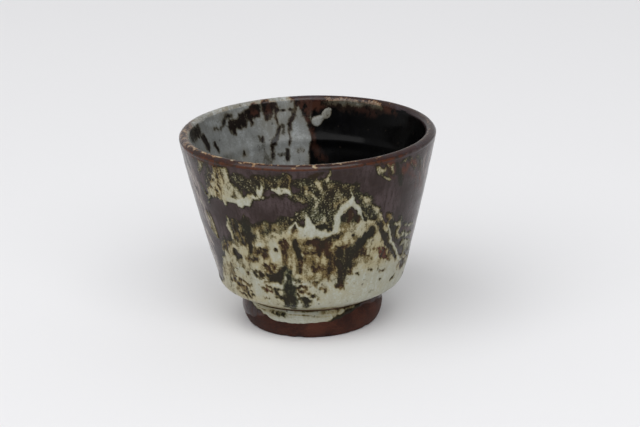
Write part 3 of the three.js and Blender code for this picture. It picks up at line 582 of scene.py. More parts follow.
# Marks on the inside in the same form, with degrees from the far side
innerStrokes = [
    ("olive", 2, [(-84, 82, 3), (-72, 81, 3)]),
    # whitish streaks high on the left of the far wall, partly the glaze's own and partly painted light where
    # that side of the wall is lit brighter
    ("white", 1.8, [(-62, 82, 1.6), (-55, 80, 1.8), (-49, 78.6, 1.4)]),
    ("spot", 1.4, [(-69, 77, 1.6), (-67, 72.6, 1.8)]),
    ("spot", 1, [(-60, 73, 0.8), (-58.8, 69.6, 0.7)]),
    ("olive", 1.6, [(-58, 78, 0.5), (-52, 77.6, 0.7), (-47, 81, 1.4), (-43, 82.2, 1)]),
    ("pepper", 1.8, [(-44, 77.4, 2.2), (-39, 77.2, 2.4), (-33, 79.4, 2.6), (-27, 82, 2.6)]),
    ("spot", 1, [(-44.4, 78, 1.2), (-43, 74.4, 1.2)], [(-40, 78.4, 1.2), (-38.4, 75.6, 0.9)],
     [(-36, 79.6, 1.4), (-35.4, 75.2, 0.6)], [(-31.6, 80, 1.6), (-31.4, 75.6, 0.6)]),
    ("umber", 1.2, [(-28.4, 82, 2.2), (-26.4, 80.4, 1.2)],
     [(-21.4, 84, 2.2), (-20.4, 80.6, 2.4), (-21.4, 76.4, 1)]),
    ("umber", 1, [(-17, 82.4, 1.4), (-16, 78, 0.6), (-16.2, 75, 0.4)]),
    ("rust", 1.6, [(-31, 81.4, 1), (-27, 80.6, 1.2)], [(-21.4, 82.8, 1.4), (-20.6, 80, 1.4)]),
    ("spot", 0.7, [(-15, 80, 0.3), (-8, 80.2, 0.4)]),
    ("spot", 0.9, [(-26.6, 69.2, 1.3)]),
    ("spot", 0.8, [(-39.6, 65.2, 0.6), (-39.8, 63.6, 0.7)]),
    ("pepper", 1.2, [(-16, 73.4, 0.6), (-17.4, 69.8, 1), (-19, 67, 1), (-21, 63.4, 0.8), (-21.4, 59.6, 0.8)]),
    ("spot", 0.7, [(-15, 73, 0.5), (-17.8, 69, 0.6)],
     [(-18.4, 68, 0.5), (-21, 64.6, 0.6), (-21.4, 60.6, 0.5)]),
    ("pepper", 1, [(-13, 73, 0.5), (-14, 70.4, 0.6)]),
    ("umber", 0.8,
     [(-4, 85, 0.9), (-6, 80, 0.6), (-7.4, 77, 0.8), (-9, 73, 0.8), (-10, 69, 0.4), (-11, 64.4, 0.3)]),
    ("spot", 0.9, [(-12.2, 62.8, 0.6), (-12.6, 58.8, 1.3)]),
    ("olive", 1.8, [(-18, 61, 0.8), (-13, 60, 0.6)]),
    ("moss", 2, [(-6, 62.4, 0.6), (-3.6, 62, 0.8)]),
    ("rust", 1.6, [(-6, 84.8, 1.6), (1.6, 82.6, 4), (6.6, 82.4, 3)]),
    ("rust", 1.2, [(0.8, 79.4, 1.8), (-0.4, 76.4, 1), (2.4, 72, 0.9), (3.6, 67.4, 0.7)]),
    ("plum", 2.4, [(3, 64, 1), (6, 61, 2), (9, 58.6, 1.6)]),
    ("brown", 2.6, [(10, 82.6, 1.8), (20, 82, 2.2), (30, 82, 2.2), (40, 82.6, 2), (50, 83.4, 1.2)]),
    ("moss", 1.8, [(9.6, 84, 1.4), (15, 83.8, 1.8), (20, 83.8, 1.8)]),
    ("tan", 2, [(18, 83.6, 1.2), (26, 82.8, 1.8), (34, 82.8, 1.8), (41, 83.6, 1.2)]),
    ("plum", 2.6, [(27, 80, 0.8), (32, 80.2, 1.4), (38, 80.2, 1)]),
    ("rust", 1.6, [(44, 83.4, 1.4), (49, 82.6, 1.6), (52, 82, 0.9)]),
]

# Lower edges of the glazes on the foot: degrees from the front, height
skirtEdge = [
    (-180, 14), (-70, 14), (-63, 11.8), (-50, 10.4), (-42, 9.2), (-36, 7.8), (-29, 7), (-20, 7.3), (0, 7.7),
    (10, 7.7), (15, 8.6), (20, 9.7), (30, 11), (40, 12.4), (45, 14), (180, 14),
]
footDarkEdge = [
    (-180, 5), (-120, 6), (-80, 3.6), (-60, 5), (-46, 7.6), (-38, 9.6), (-30, 13), (7, 13), (12, 7),
    (20, 7.7), (30, 9.2), (38, 10.4), (46, 10.7), (60, 10), (90, 8), (130, 6.4), (180, 5),
]
skirtMarks = [
    ("olive", 1.4, [(-33, 11, 0.7), (-28, 10.5, 1.2), (-22.4, 10.6, 0.6)]),
    ("dark", 0.8, [(-30.6, 10.9, 0.3), (-28.6, 10.2, 0.5)], [(-26.4, 10.8, 0.4), (-24.6, 10.4, 0.3)]),
    ("honey", 1.2, [(6, 11.6, 0.5), (14, 11.8, 0.8), (22, 12, 0.5)]),
    ("dark", 1.2, [(12.6, 7.8, 0.6), (18, 8.8, 0.9), (26, 10, 0.9), (36, 11.6, 0.8), (42, 12.2, 0.5)]),
    ("brown", 0.9, [(22, 11.8, 0.3), (32, 12.2, 0.4)]),
]


def angleOf(points):
    return np.degrees(np.arctan2(points[:, 0], -points[:, 1]))


def wrapped(turned):
    return (turned + 180) % 360 - 180


# Height that an edge table gives for each angle, easing from one of its points to the next
def edgeAt(edge, turned):
    at, level = np.array(edge, float).T
    after = np.clip(np.searchsorted(at, turned), 1, len(at) - 1)
    share = ease(at[after - 1], at[after], turned)
    return level[after - 1] + (level[after] - level[after - 1]) * share


# Fields of one tone everywhere
def plainFields(points, tone):
    return np.tile(np.array(tones[tone]), (len(points), 1))


def blendIn(fields, cover, tone):
    return fields + np.asarray(cover)[:, None] * (np.array(tones[tone]) - fields)


# How much of each point a run of glaze covers
def coverOf(turned, height, reach, ragged, soft, path):
    cover = np.zeros(len(height))
    for (angle, level, width), (nextAngle, nextLevel, nextWidth) in zip(path, path[1:] or path):
        near = np.abs(wrapped(turned - (angle + nextAngle) / 2)) < abs(nextAngle - angle) / 2 + 14
        near &= np.abs(height - (level + nextLevel) / 2) < abs(nextLevel - level) / 2 + 9
        arc = np.radians(wrapped(turned[near] - angle)) * reach[near]
        rise = height[near] - level
        arcLength = np.radians(nextAngle - angle) * reach[near]
        length = arcLength ** 2 + (nextLevel - level) ** 2 + 1e-9
        share = np.clip((arc * arcLength + rise * (nextLevel - level)) / length, 0, 1)
        away = np.hypot(arc - share * arcLength, rise - share * (nextLevel - level)) + ragged[near]
        inside = (width + (nextWidth - width) * share - away) / soft + 0.5
        cover[near] = np.maximum(cover[near], ease(0, 1, inside))
    return cover


# Dark marks melt an ochre halo into the glaze round them
haloed = ("dark", "spot", "umber")


def paintStrokes(fields, place, strokes):
    for tone, soft, *paths in strokes:
        for path in paths:
            if tone in haloed:
                fields = blendIn(fields, 0.5 * coverOf(*place, soft + 2.2, path), "ochre")
            fields = blendIn(fields, coverOf(*place, min(1.9 * soft, soft + 0.8), path), tone)
    return fields


# Angle, height and radius that wander a little, so that a run looks melted, and how ragged its edges are
def melted(points, seed, amount=1.0):
    reach = np.hypot(points[:, 0], points[:, 1])
    aside = amount * (0.8 * noiseAt(points, 5.5, seed) + 0.6 * noiseAt(points, 2.1, seed + 1, 1.6))
    down = amount * (1.0 * noiseAt(points, 5.5, seed + 2) + 0.7 * noiseAt(points, 1.9, seed + 3, 2.4))
    ragged = 0.7 * noiseAt(points, 1.5, seed + 4, 1.5) + 0.5 * noiseAt(points, 0.8, seed + 5, 1.3)
    turned = wrapped(angleOf(points) + np.degrees(aside / np.maximum(reach, 1)))
    return turned, points[:, 2] + down, reach, ragged


# Haze, streaks and runs for the side that is away from the camera, in the manner of the front
farSide = {
    "seed": 5,
    "upperRuns": ((137, 3, 8), (198, 7, 18)),  # degrees from the front, number of drips, how far they fall
    "runTop": 82,
    "edgeMarks": range(100, 264, 8),
    "dotClusters": range(80, 284, 17),
    "dotsEach": 6,
}


def farStrokes():
    pick = random.Random(farSide["seed"])
    top = farSide["runTop"]
    strokes = []
    for start, drips, drop in farSide["upperRuns"]:
        haze = [(start - 5, 80, 2), (start + drips, 77, 3), (start + 3 * drips, 79, 2)]
        strokes.append(("pepper", 3.2, haze))
        for drip in range(drips):
            angle = start + 2.6 * drip + pick.uniform(-1, 1)
            lean, width = pick.uniform(-3, 3), pick.uniform(0.8, 2)
            end = top - drop * pick.uniform(0.5, 1)
            path = [(angle, top, width), (angle + lean / 2, top / 2 + end / 2, 1.2 * width)]
            path.append((angle + lean, end, 0.8 * width))
            strokes.append((pick.choice(["olive", "mottle", "bone", "cream"]), 1.4, path))
    for start in farSide["edgeMarks"]:
        angle, lean, width = start + pick.uniform(-3, 3), pick.uniform(-5, 5), pick.uniform(0.6, 1.4)
        edge = float(edgeAt(lowerEdge, np.array([wrapped(angle)]))[0])
        haze = [(angle - 6, edge + pick.uniform(1, 4), 2), (angle, edge + pick.uniform(3, 8), 2.6)]
        haze.append((angle + 6, edge + 2, 2))
        strokes.append((pick.choice(["pepper", "olive", "moss"]), 3.0, haze))
        climb = [(angle - 3, edge - 2, 1.6 * width), (angle, edge + 1, width)]
        climb.append((angle + lean, edge + pick.uniform(3, 8), 0.3))
        strokes.append((pick.choice(["cream", "white", "mottle"]), 0.8, climb))
        fall = [(angle + 4, edge, width), (angle + 4 + lean / 3, edge - pick.uniform(4, 12), 0.7 * width)]
        strokes.append((pick.choice(["dark", "umber", "brown"]), 1.2, fall))
    for start in farSide["dotClusters"]:
        for dot in range(farSide["dotsEach"]):
            angle, level, size = start + pick.gauss(0, 5), pick.uniform(20, 33), pick.uniform(0.4, 1.2)
            tone = pick.choice(["spot", "umber", "brown"])
            tail = (angle + pick.uniform(-3, 3), level - size, 0.6 * size)
            strokes.append((tone, 0.8, [(angle, level, size), tail]))
    return strokes


# Degrees round the lip: 0 looks away from the axis, 90 up, 180 towards the axis
def lipSwing(points):
    reach = np.hypot(points[:, 0], points[:, 1])
    swing = np.degrees(np.arctan2(points[:, 2] - lipCentre[1], reach - lipCentre[0]))
    return np.where(swing < -120, swing + 360, swing) + 12 * noiseAt(points, 3, 62)


# Where the rust brown begins on the front of the lip: degrees from the front, degrees round the lip
rustStart = [
    (-180, 60), (-96, 60), (-82, 10), (-70, -32), (-46, -34), (-30, -8), (0, 4), (24, -4), (34, -30),
    (42, -20), (52, 40), (64, 90), (180, 90),
]


# Rust brown over the front of the lip
def lipRust(points, fields):
    start = edgeAt(rustStart, angleOf(points) + 6 * noiseAt(points, 5, 65))
    rusty = ease(start - 14, start + 14, lipSwing(points)) * ease(-86, -72, angleOf(points))
    rusty = rusty * ease(60, 44, angleOf(points))
    rusty = rusty * ease(bowlHeight - 5, bowlHeight - 4, points[:, 2])
    return blendIn(fields, 0.95 * rusty, "lip")


# All the glaze fields on the outside of the wall
def outerFields(points):
    place = turned, height, reach, ragged = melted(points, 11)
    fields = plainFields(points, "purple")
    edge = edgeAt(lowerEdge, turned) + 1.5 * ragged
    pale = ease(edge + 1.4, edge - 1.4, height)
    fields = blendIn(fields, 0.8 * ease(edge + 7, edge, height + 5 * noiseAt(points, 6, 20, 2)), "olive")
    fields = blendIn(fields, pale, "cream")
    upper = pale * ease(27, 36, height)
    fields = blendIn(fields, 0.85 * upper * ease(0.0, 0.35, noiseAt(points, 3.4, 21, 2.4)), "honey")
    fields = blendIn(fields, 0.5 * upper * ease(0.2, 0.6, noiseAt(points, 4, 23, 3)), "ochre")
    cool = ease(-62, 8, turned + 30 * noiseAt(points, 9, 25))
    fields = blendIn(fields, pale * ease(37, 30, height) * cool, "green")
    fields = paintStrokes(fields, place, farStrokes())
    # crumbs of dark and white between the marks above the shoulder
    crumbs = ease(18, 21, height) * ease(38, 34, height) * ease(-58, -50, turned) * ease(4, -5, turned)
    crumbs = crumbs * ease(-0.2, 0.2, noiseAt(points, 7, 28))
    fields = blendIn(fields, 0.75 * crumbs * ease(0.15, 0.4, noiseAt(points, 1.2, 26, 0.8)), "umber")
    fields = blendIn(fields, 0.85 * crumbs * ease(0.1, 0.35, noiseAt(points, 1.4, 27, 0.8)), "white")
    fields = paintStrokes(fields, place, outerStrokes)
    # underside: lines left by turning, and the bare edge at the waist
    low = points[:, 2] + 0.3 * noiseAt(points, 7, 29)
    under = ease(18.4, 16.6, low)
    flecks = ease(0.05, 0.3, noiseAt(points * (0.25, 0.25, 3), 2.2, 24))
    fields = blendIn(fields, 0.8 * under * flecks, "honey")
    lines = np.exp(-((low - 15) / 0.3) ** 2) + np.exp(-((low - 17) / 0.25) ** 2)
    fields = blendIn(fields, 0.6 * lines * ease(-0.2, 0.2, noiseAt(points, 8, 30)), "brown")
    return lipRust(points, blendIn(fields, 0.15 * ease(13.7, 13.2, low), "brown"))


# The two glazes of the inside, on either side of a wavering line
meeting = {"offset": 1.5, "wave": 2.5, "length": 46}


def meetingLine(y):
    return meeting["offset"] + meeting["wave"] * np.sin(2 * math.pi * y / meeting["length"])


def innerFields(points):
    turned, height, reach, ragged = melted(points, 31)
    aside = points[:, 0] + 0.9 * noiseAt(points, 4, 40) + 0.5 * noiseAt(points, 1.8, 41)
    fields = plainFields(points, "purple")
    pale = ease(0.9, -0.9, aside - meetingLine(points[:, 1]))
    fields = blendIn(fields, pale, "green")
    fields = blendIn(fields, pale * 0.35 * ease(0.1, 0.5, noiseAt(points, 7, 42, 2)), "olive")
    fields = blendIn(fields, pale * 0.7 * ease(0.0, 0.5, noiseAt(points, 8, 43, 2)), "white")
    fields = blendIn(fields, pale * 0.45 * ease(0.05, 0.5, noiseAt(points, 11, 45, 1.4)), "smoke")
    return paintStrokes(fields, (wrapped(180 - turned), height, reach, ragged), innerStrokes)


def footFields(points):
    place = turned, height, reach, ragged = melted(points, 51, 0.5)
    fields = plainFields(points, "purple")
    fields = blendIn(fields, 0.8 * ease(-0.5, 0.2, noiseAt(points, 5, 53)), "plum")
    skirt = edgeAt(skirtEdge, turned)
    fields = blendIn(fields, ease(skirt - 0.5, skirt + 0.4, height), "white")
    lines = ease(0.1, 0.35, noiseAt(points * (0.2, 0.2, 3), 2, 52)) * ease(skirt, skirt + 0.6, height)
    fields = blendIn(fields, 0.7 * lines * ease(9, 11, height), "honey")
    lines = ease(0.05, 0.35, noiseAt(points * (0.14, 0.14, 3), 1.6, 54))
    lines = lines * ease(skirt + 0.4, skirt + 1.2, height)
    fields = blendIn(fields, 0.4 * lines * ease(9.6, 11.2, height), "umber")
    fields = paintStrokes(fields, place, skirtMarks)
    return blendIn(fields, 0.15 * ease(11.9, 12.3, points[:, 2]), "brown")


fieldNames = ("pour", "warm", "rust", "grain")


def storeFields(piece, fields):
    for name, values in zip(fieldNames, np.asarray(fields).T):
        layer = piece.data.attributes.new(name, "FLOAT", "POINT")
        layer.data.foreach_set("value", np.ascontiguousarray(values))


def readField(piece, name):
    values = np.empty(len(piece.data.vertices))
    piece.data.attributes[name].data.foreach_get("value", values)
    return values


# Keeps the faces whose corners are all marked, and drops loose bits smaller than a few faces
def keepFaces(piece, marked, smallest=40):
    mesh = piece.data
    corners = np.empty(len(mesh.loops), int)
    mesh.loops.foreach_get("vertex_index", corners)
    starts = np.empty(len(mesh.polygons), int)
    mesh.polygons.foreach_get("loop_start", starts)
    kept = np.logical_and.reduceat(marked[corners], starts)
    label = np.arange(len(mesh.vertices))
    ends = np.append(starts[1:], len(corners))
    inKept = np.repeat(kept, ends - starts)
    first = np.repeat(corners[starts], ends - starts)
    pairs = np.stack([corners, first], 1)[inKept]
    while True:
        lower = np.minimum(label[pairs[:, 0]], label[pairs[:, 1]])
        before = label.copy()
        np.minimum.at(label, pairs[:, 0], lower)
        np.minimum.at(label, pairs[:, 1], lower)
        label = label[label]
        if np.array_equal(label, before):
            break
    sizes = np.bincount(label[corners[starts]], weights=kept, minlength=len(label))
    kept &= sizes[label[corners[starts]]] >= smallest
    bpy.context.tool_settings.mesh_select_mode = (False, False, True)
    for parts in (mesh.vertices, mesh.edges):
        parts.foreach_set("select", np.zeros(len(parts), bool))
    mesh.polygons.foreach_set("select", ~kept)
    onlySelect(piece)
    bpy.ops.object.mode_set(mode="EDIT")
    bpy.ops.mesh.delete(type="FACE")
    bpy.ops.object.mode_set(mode="OBJECT")
    bpy.context.tool_settings.mesh_select_mode = (True, False, False)


# Makes the faces of an open sheet look away from the axis, or towards it
def faceAway(piece, outwards):
    if (np.sum(spots(piece)[:, :2] * normals(piece)[:, :2]) > 0) != outwards:
        editAll(piece)
        bpy.ops.mesh.flip_normals()
        bpy.ops.object.mode_set(mode="OBJECT")


def renamed(piece, name):
    piece.name = piece.data.name = name
    return piece


def copyOf(piece, name):
    onlySelect(piece)
    bpy.ops.object.duplicate()
    return renamed(bpy.context.object, name)


def finishPiece(piece, material, node):
    onlySelect(piece)
    bpy.ops.object.shade_smooth()
    piece.data.materials.clear()
    piece.data.materials.append(material)
    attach(piece, "root")
    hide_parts(node)
    print(piece.name, "made:", len(piece.data.loops) - 2 * len(piece.data.polygons), "triangles")


# Open sheet with its glaze fields, for coats to be cut from
def glazeSheet(name, line, sheet, side, outwards, fieldsAt, filled=False):
    piece = turn(name, line, sheet["segments"], filled=filled)
    subdivide(piece, sheet["levels"])
    gatherColumns(piece, side, sheet["gather"])
    faceAway(piece, outwards)
    places = spots(piece)
    storeFields(piece, fieldsAt(places))
    return piece, places


# Cuts a coat from its sheet, gives it thickness and finishes it
def cutCoat(piece, marked, thickness, material, node):
    keepFaces(piece, marked)
    applyModifier(piece, "SOLIDIFY", thickness=thickness * mm, offset=-1, use_even_offset=False)
    finishPiece(piece, material, node)


# Node helpers
def feed(tree, socket, value):
    if isinstance(value, bpy.types.NodeSocket):
        tree.links.new(value, socket)
    else:
        socket.default_value = value


def addNode(tree, kind, settings, inputs):
    made = tree.nodes.new(kind)
    for key, value in settings.items():
        setattr(made, key, value)
    for key, value in inputs.items():
        feed(tree, made.inputs[key], value)
    return made


def sums(tree, operation, first, second=0.0, third=0.0):
    settings = {"operation": operation}
    return addNode(tree, "ShaderNodeMath", settings, {0: first, 1: second, 2: third}).outputs[0]


def rampOf(tree, value, low, high):
    settings = {"interpolation_type": "SMOOTHSTEP"}
    return addNode(tree, "ShaderNodeMapRange", settings, {0: value, 1: low, 2: high}).outputs[0]


def mixOf(tree, factor, first, second, blend="MIX"):
    settings = {"data_type": "RGBA", "blend_type": blend}
    return addNode(tree, "ShaderNodeMix", settings, {0: factor, 6: first, 7: second}).outputs[2]


def cloudOf(tree, place, scale, detail, stretch=1.0):
    squeezed = addNode(tree, "ShaderNodeMapping", {}, {0: place, 3: (1, 1, 1 / stretch)}).outputs[0]
    inputs = {"Vector": squeezed, "Scale": scale, "Detail": detail}
    return addNode(tree, "ShaderNodeTexNoise", {}, inputs).outputs[0]


# Colour as it looks on screen, from 0 to 255, made linear
def tint(*shown):
    levels = [level / 255 for level in shown]
    linear = [level / 12.92 if level <= 0.04045 else ((level + 0.055) / 1.055) ** 2.4 for level in levels]
    return (*linear, 1)


# Poured glaze: the tone follows how thick the pale glaze lies, with grain, streaks and fine specks
glazeTones = (
    "Deep", "Sheen", "Thin Cool", "Thin Warm", "Mid Cool", "Mid Warm", "Pale Cool", "Pale Warm", "Milk",
    "Rust Tone", "Speck", "Veil",
)


def makeGlazeGroup():
    group = bpy.data.node_groups.new("pouredGlaze", "ShaderNodeTree")
    group.interface.new_socket("Place", in_out="INPUT", socket_type="NodeSocketVector")
    for name in ("Pour", "Warm", "Rust", "Grain", "Satin", "Flow"):
        group.interface.new_socket(name, in_out="INPUT", socket_type="NodeSocketFloat")
    for name in glazeTones:
        group.interface.new_socket(name, in_out="INPUT", socket_type="NodeSocketColor")
    group.interface.new_socket("Color", in_out="OUTPUT", socket_type="NodeSocketColor")
    group.interface.new_socket("Roughness", in_out="OUTPUT", socket_type="NodeSocketFloat")
    group.interface.new_socket("Height", in_out="OUTPUT", socket_type="NodeSocketFloat")
    given = group.nodes.new("NodeGroupInput").outputs
    place, pour, grain = given["Place"], given["Pour"], given["Grain"]
    # scale, detail and how far each cloud is drawn out along the height
    cloudForms = {"grit": (2300, 1), "fine": (1400, 2), "coarse": (340, 3, 1.5), "streak": (700, 2, 6.0)}
    clouds = {}
    for name, values in cloudForms.items():
        clouds[name] = rampOf(group, cloudOf(group, place, *values), 0.3, 0.7)
    patches = rampOf(group, cloudOf(group, place, 70, 3), 0.3, 0.7)
    swing = sums(group, "MULTIPLY_ADD", pour, 2.0, -1.0)
    middle = sums(group, "MULTIPLY_ADD", sums(group, "MULTIPLY", swing, swing), -1.0, 1.0)
    middle = addNode(group, "ShaderNodeClamp", {}, {0: middle}).outputs[0]
    # sparse grains, pale on the dark glaze and dark on the pale
    grains = sums(group, "MULTIPLY", grain, rampOf(group, cloudOf(group, place, 1500, 1), 0.55, 0.7))
    t = sums(group, "MULTIPLY_ADD", grains, sums(group, "MULTIPLY_ADD", pour, -3.8, 2.1), pour)
    # how far each cloud sways the thickness: everywhere, at half thickness, and where the glaze is grainy
    sway = {
        "grit": (0.03, 0.06, 0.2),
        "fine": (0.08, 0.08, 0.3),
        "coarse": (0.12, 0.1, 0.1),
        "streak": (0.09, 0.15, 0.0),
    }
    for name, (always, halfway, grainy) in sway.items():
        share = sums(group, "MULTIPLY_ADD", middle, halfway, always)
        share = sums(group, "MULTIPLY", sums(group, "MULTIPLY_ADD", grain, grainy, share), given["Flow"])
        t = sums(group, "MULTIPLY_ADD", sums(group, "SUBTRACT", clouds[name], 0.5), share, t)
    warm = sums(group, "MULTIPLY_ADD", sums(group, "SUBTRACT", patches, 0.5), 0.5, given["Warm"])
    warm = addNode(group, "ShaderNodeClamp", {}, {0: warm}).outputs[0]
    # painted sheen: the dark glaze turns to the lighter Sheen tone in noise patches and streaks
    sheenPatches = sums(group, "MULTIPLY_ADD", clouds["fine"], 0.6, clouds["streak"])
    sheenPatches = sums(group, "MULTIPLY", patches, sheenPatches)
    deep = mixOf(group, sheenPatches, given["Deep"], given["Sheen"])
    # below nought, the veil: partly pale streaks of glaze and partly painted sheen at the far edges of the
    # wall; further below, the pale tone itself as a painted gleam
    veil = sums(group, "MULTIPLY_ADD", clouds["streak"], 0.7, 0.45)
    veil = sums(group, "MULTIPLY", veil, rampOf(group, pour, -0.02, -0.3))
    deep = mixOf(group, veil, deep, given["Veil"])
    deep = mixOf(group, rampOf(group, pour, -0.34, -0.7), deep, given["Pale Cool"])
    thin = mixOf(group, warm, given["Thin Cool"], given["Thin Warm"])
    mid = mixOf(group, warm, given["Mid Cool"], given["Mid Warm"])
    pale = mixOf(group, warm, given["Pale Cool"], given["Pale Warm"])
    steady = sums(group, "MULTIPLY_ADD", sums(group, "SUBTRACT", t, pour), 0.3, pour)
    colour = mixOf(group, rampOf(group, steady, 0.07, 0.17), deep, thin)
    colour = mixOf(group, rampOf(group, t, 0.28, 0.5), colour, mid)
    colour = mixOf(group, rampOf(group, t, 0.5, 0.78), colour, pale)
    colour = mixOf(group, rampOf(group, t, 0.84, 1.1), colour, given["Milk"])
    rusty = sums(group, "MULTIPLY", given["Rust"], rampOf(group, clouds["coarse"], 0.1, 0.6))
    colour = mixOf(group, rusty, colour, given["Rust Tone"])
    cells = addNode(group, "ShaderNodeTexVoronoi", {}, {"Vector": place, "Scale": 330})
    ragged = sums(group, "MULTIPLY_ADD", clouds["fine"], 0.12, cells.outputs["Distance"])
    speck = rampOf(group, ragged, 0.26, 0.16)
    speck = sums(group, "MULTIPLY", speck, rampOf(group, cells.outputs["Color"], 0.6, 0.68))
    colour = mixOf(group, sums(group, "MULTIPLY", speck, 0.6), colour, given["Speck"])
    rough = sums(group, "MULTIPLY_ADD", rampOf(group, t, 0.1, 0.8), 0.1, given["Satin"])
    rough = sums(group, "MULTIPLY_ADD", clouds["coarse"], 0.08, rough)
    height = sums(group, "MULTIPLY_ADD", t, 0.6, sums(group, "MULTIPLY", patches, 0.6))
    out = group.nodes.new("NodeGroupOutput").inputs
    for name, value in (("Color", colour), ("Roughness", rough), ("Height", height)):
        group.links.new(value, out[name])
    return group


glazeGroup = makeGlazeGroup()


def shaderOf(name, settings):
    material = bpy.data.materials.new(name)
    material.use_nodes = True
    shader = material.node_tree.nodes["Principled BSDF"]
    for key, value in settings.items():
        shader.inputs[key].default_value = value
    place = material.node_tree.nodes.new("ShaderNodeTexCoord").outputs["Object"]
    return material, material.node_tree, shader, place


def bumpInto(tree, shader, height, distance):
    bump = addNode(tree, "ShaderNodeBump", {}, {"Strength": 1.0, "Distance": distance * mm, "Height": height})
    tree.links.new(bump.outputs[0], shader.inputs["Normal"])


# Glaze from a palette: how much it mirrors, its roughness, depth of its bump in millimetres, sway of its tone
def glazeMaterial(name, palette, specular, satin, bump=0.12, flow=1.0):
    material, tree, shader, place = shaderOf(name, {"IOR": 1.5, "Specular IOR Level": specular})
    inputs = {"Place": place, "Satin": satin, "Flow": flow}
    coat = addNode(tree, "ShaderNodeGroup", {"node_tree": glazeGroup}, inputs)
    for field, socket in zip(fieldNames, ("Pour", "Warm", "Rust", "Grain")):
        stored = addNode(tree, "ShaderNodeAttribute", {"attribute_name": field}, {})
        tree.links.new(stored.outputs["Fac"], coat.inputs[socket])
    for socket, levels in zip(glazeTones, palette):
        coat.inputs[socket].default_value = tint(*levels)
    tree.links.new(coat.outputs["Color"], shader.inputs["Base Color"])
    tree.links.new(coat.outputs["Roughness"], shader.inputs["Roughness"])
    bumpInto(tree, shader, coat.outputs["Height"], bump)
    return material


# Tones in the order of glazeTones
outerPalette = [
    (46, 35, 32), (73, 61, 61), (31, 30, 20), (40, 30, 18), (91, 91, 67), (104, 89, 54), (160, 159, 142),
    (164, 154, 120), (174, 176, 165), (90, 48, 33), (58, 46, 33), (126, 114, 108),
]
innerPalette = [
    (1, 1, 1), (3, 3, 4), (17, 13, 11), (21, 14, 10), (70, 69, 62), (66, 57, 40), (117, 119, 117),
    (118, 113, 98), (152, 156, 156), (60, 36, 27), (30, 24, 20), (60, 58, 58),
]
rimPalette = [
    (44, 33, 34), (60, 50, 54), (36, 24, 20), (40, 23, 17), (104, 90, 85), (132, 98, 62), (122, 121, 114),
    (164, 148, 118), (166, 169, 167), (56, 27, 19), (50, 34, 26), (104, 90, 88),
]


# Bare fired clay with turning marks and grit
def clayMaterial(name, dark, light, rings):
    material, tree, shader, place = shaderOf(name, {"IOR": 1.45, "Specular IOR Level": 0.18})
    patches = cloudOf(tree, place, 110, 4)
    grit = cloudOf(tree, place, 1400, 2)
    tone = sums(tree, "MULTIPLY_ADD", sums(tree, "SUBTRACT", grit, 0.5), 0.5, patches)
    colour = mixOf(tree, rampOf(tree, tone, 0.3, 0.72), tint(*dark), tint(*light))
    tree.links.new(colour, shader.inputs["Base Color"])
    rough = sums(tree, "MULTIPLY_ADD", grit, 0.25, 0.5)
    tree.links.new(rough, shader.inputs["Roughness"])
    inputs = {"Vector": place, "Scale": rings, "Distortion": 1.6, "Detail": 2}
    turning = addNode(tree, "ShaderNodeTexWave", {"bands_direction": "Z"}, inputs)
    height = sums(tree, "MULTIPLY_ADD", turning.outputs["Fac"], 0.4, grit)
    bumpInto(tree, shader, height, 0.09)
    return material


darkGlaze = glazeMaterial("darkGlaze", outerPalette, specular=0.13, satin=0.18)
paleGlaze = glazeMaterial("paleGlaze", outerPalette, specular=0.13, satin=0.18)
rustGlaze = glazeMaterial("rustGlaze", rimPalette, specular=0.3, satin=0.15)
greyGlaze = glazeMaterial("greyGlaze", innerPalette, specular=0.25, satin=0.16, bump=0.1, flow=0.5)
blackGlaze = glazeMaterial("blackGlaze", innerPalette, specular=0.1, satin=0.13, bump=0.04, flow=0.5)
bareClay = clayMaterial("bareClay", dark=(45, 22, 16), light=(72, 38, 26), rings=380)
firedSlip = clayMaterial("firedSlip", dark=(86, 66, 52), light=(126, 104, 84), rings=300)
print("materials ready")

# Outside: dark coat as a closed shell, and an open sheet that the pale pours are cut from
wallSheet = {
    "segments": 128,
    "rings": 36,
    "hiddenRings": 5,  # on the side that lies on the clay
    "levels": 2,
    "gather": 0.34,
    "tuck": ((14, 0.07), (28, 0.0), (44, -0.3)),  # degrees round the lip, distance from the lip's glaze
    "waistTuck": (0.4, 0.1),
    "swell": 0.16,  # of the dark coat where pale glaze lies on it
}


def outerSheetLine():
    line = evenly(outerLine(), wallSheet["rings"])
    swing, lift = np.array(wallSheet["tuck"]).T
    swing, reach = np.radians(swing), form["lipRadius"] + lift
    tuck = np.stack([lipCentre[0] + reach * np.cos(swing), lipCentre[1] + reach * np.sin(swing)], 1)
    return np.vstack([[np.subtract(waist, wallSheet["waistTuck"])], line, tuck])


line = outerSheetLine()
hidden = evenly(beside(line, -form["coat"])[::-1], wallSheet["hiddenRings"])
outerDarkGlaze = turn("outerDarkGlaze", np.vstack([line, hidden]), wallSheet["segments"], closed=True)
subdivide(outerDarkGlaze, wallSheet["levels"])
gatherColumns(outerDarkGlaze, 0, wallSheet["gather"])
places = spots(outerDarkGlaze)
storeFields(outerDarkGlaze, outerFields(places))
thick = ease(0.12, 0.55, readField(outerDarkGlaze, "pour")) * ease(14, 17, places[:, 2])
outline = outerLine()
depth = np.hypot(places[:, 0], places[:, 1]) - np.interp(places[:, 2], outline[:, 1], outline[:, 0])
shown = ease(-0.3, -0.05, depth)
raiseBy(outerDarkGlaze, wobble(places) + shown * wallSheet["swell"] * thick)
finishPiece(outerDarkGlaze, darkGlaze, "outer_dark_glaze")

# Pale pours: raised where the glaze is thick, sunk under the dark coat where it ends
pourForm = {
    "sink": 0.14,
    "lift": 0.52,
    "thin": 0.12,
    "full": 0.55,
    "cut": 0.2,
    "thickness": 0.42,
    "upperTurn": (-62, -3),
    "upperHeight": (60.5, 82),
    "lowerHeight": (14.6, 70),
    "lowerFront": (-54, 46),  # only here does the lower pour climb over lowerTop
    "lowerTop": 50,
}


def between(value, limits):
    return (value > limits[0]) & (value < limits[1])


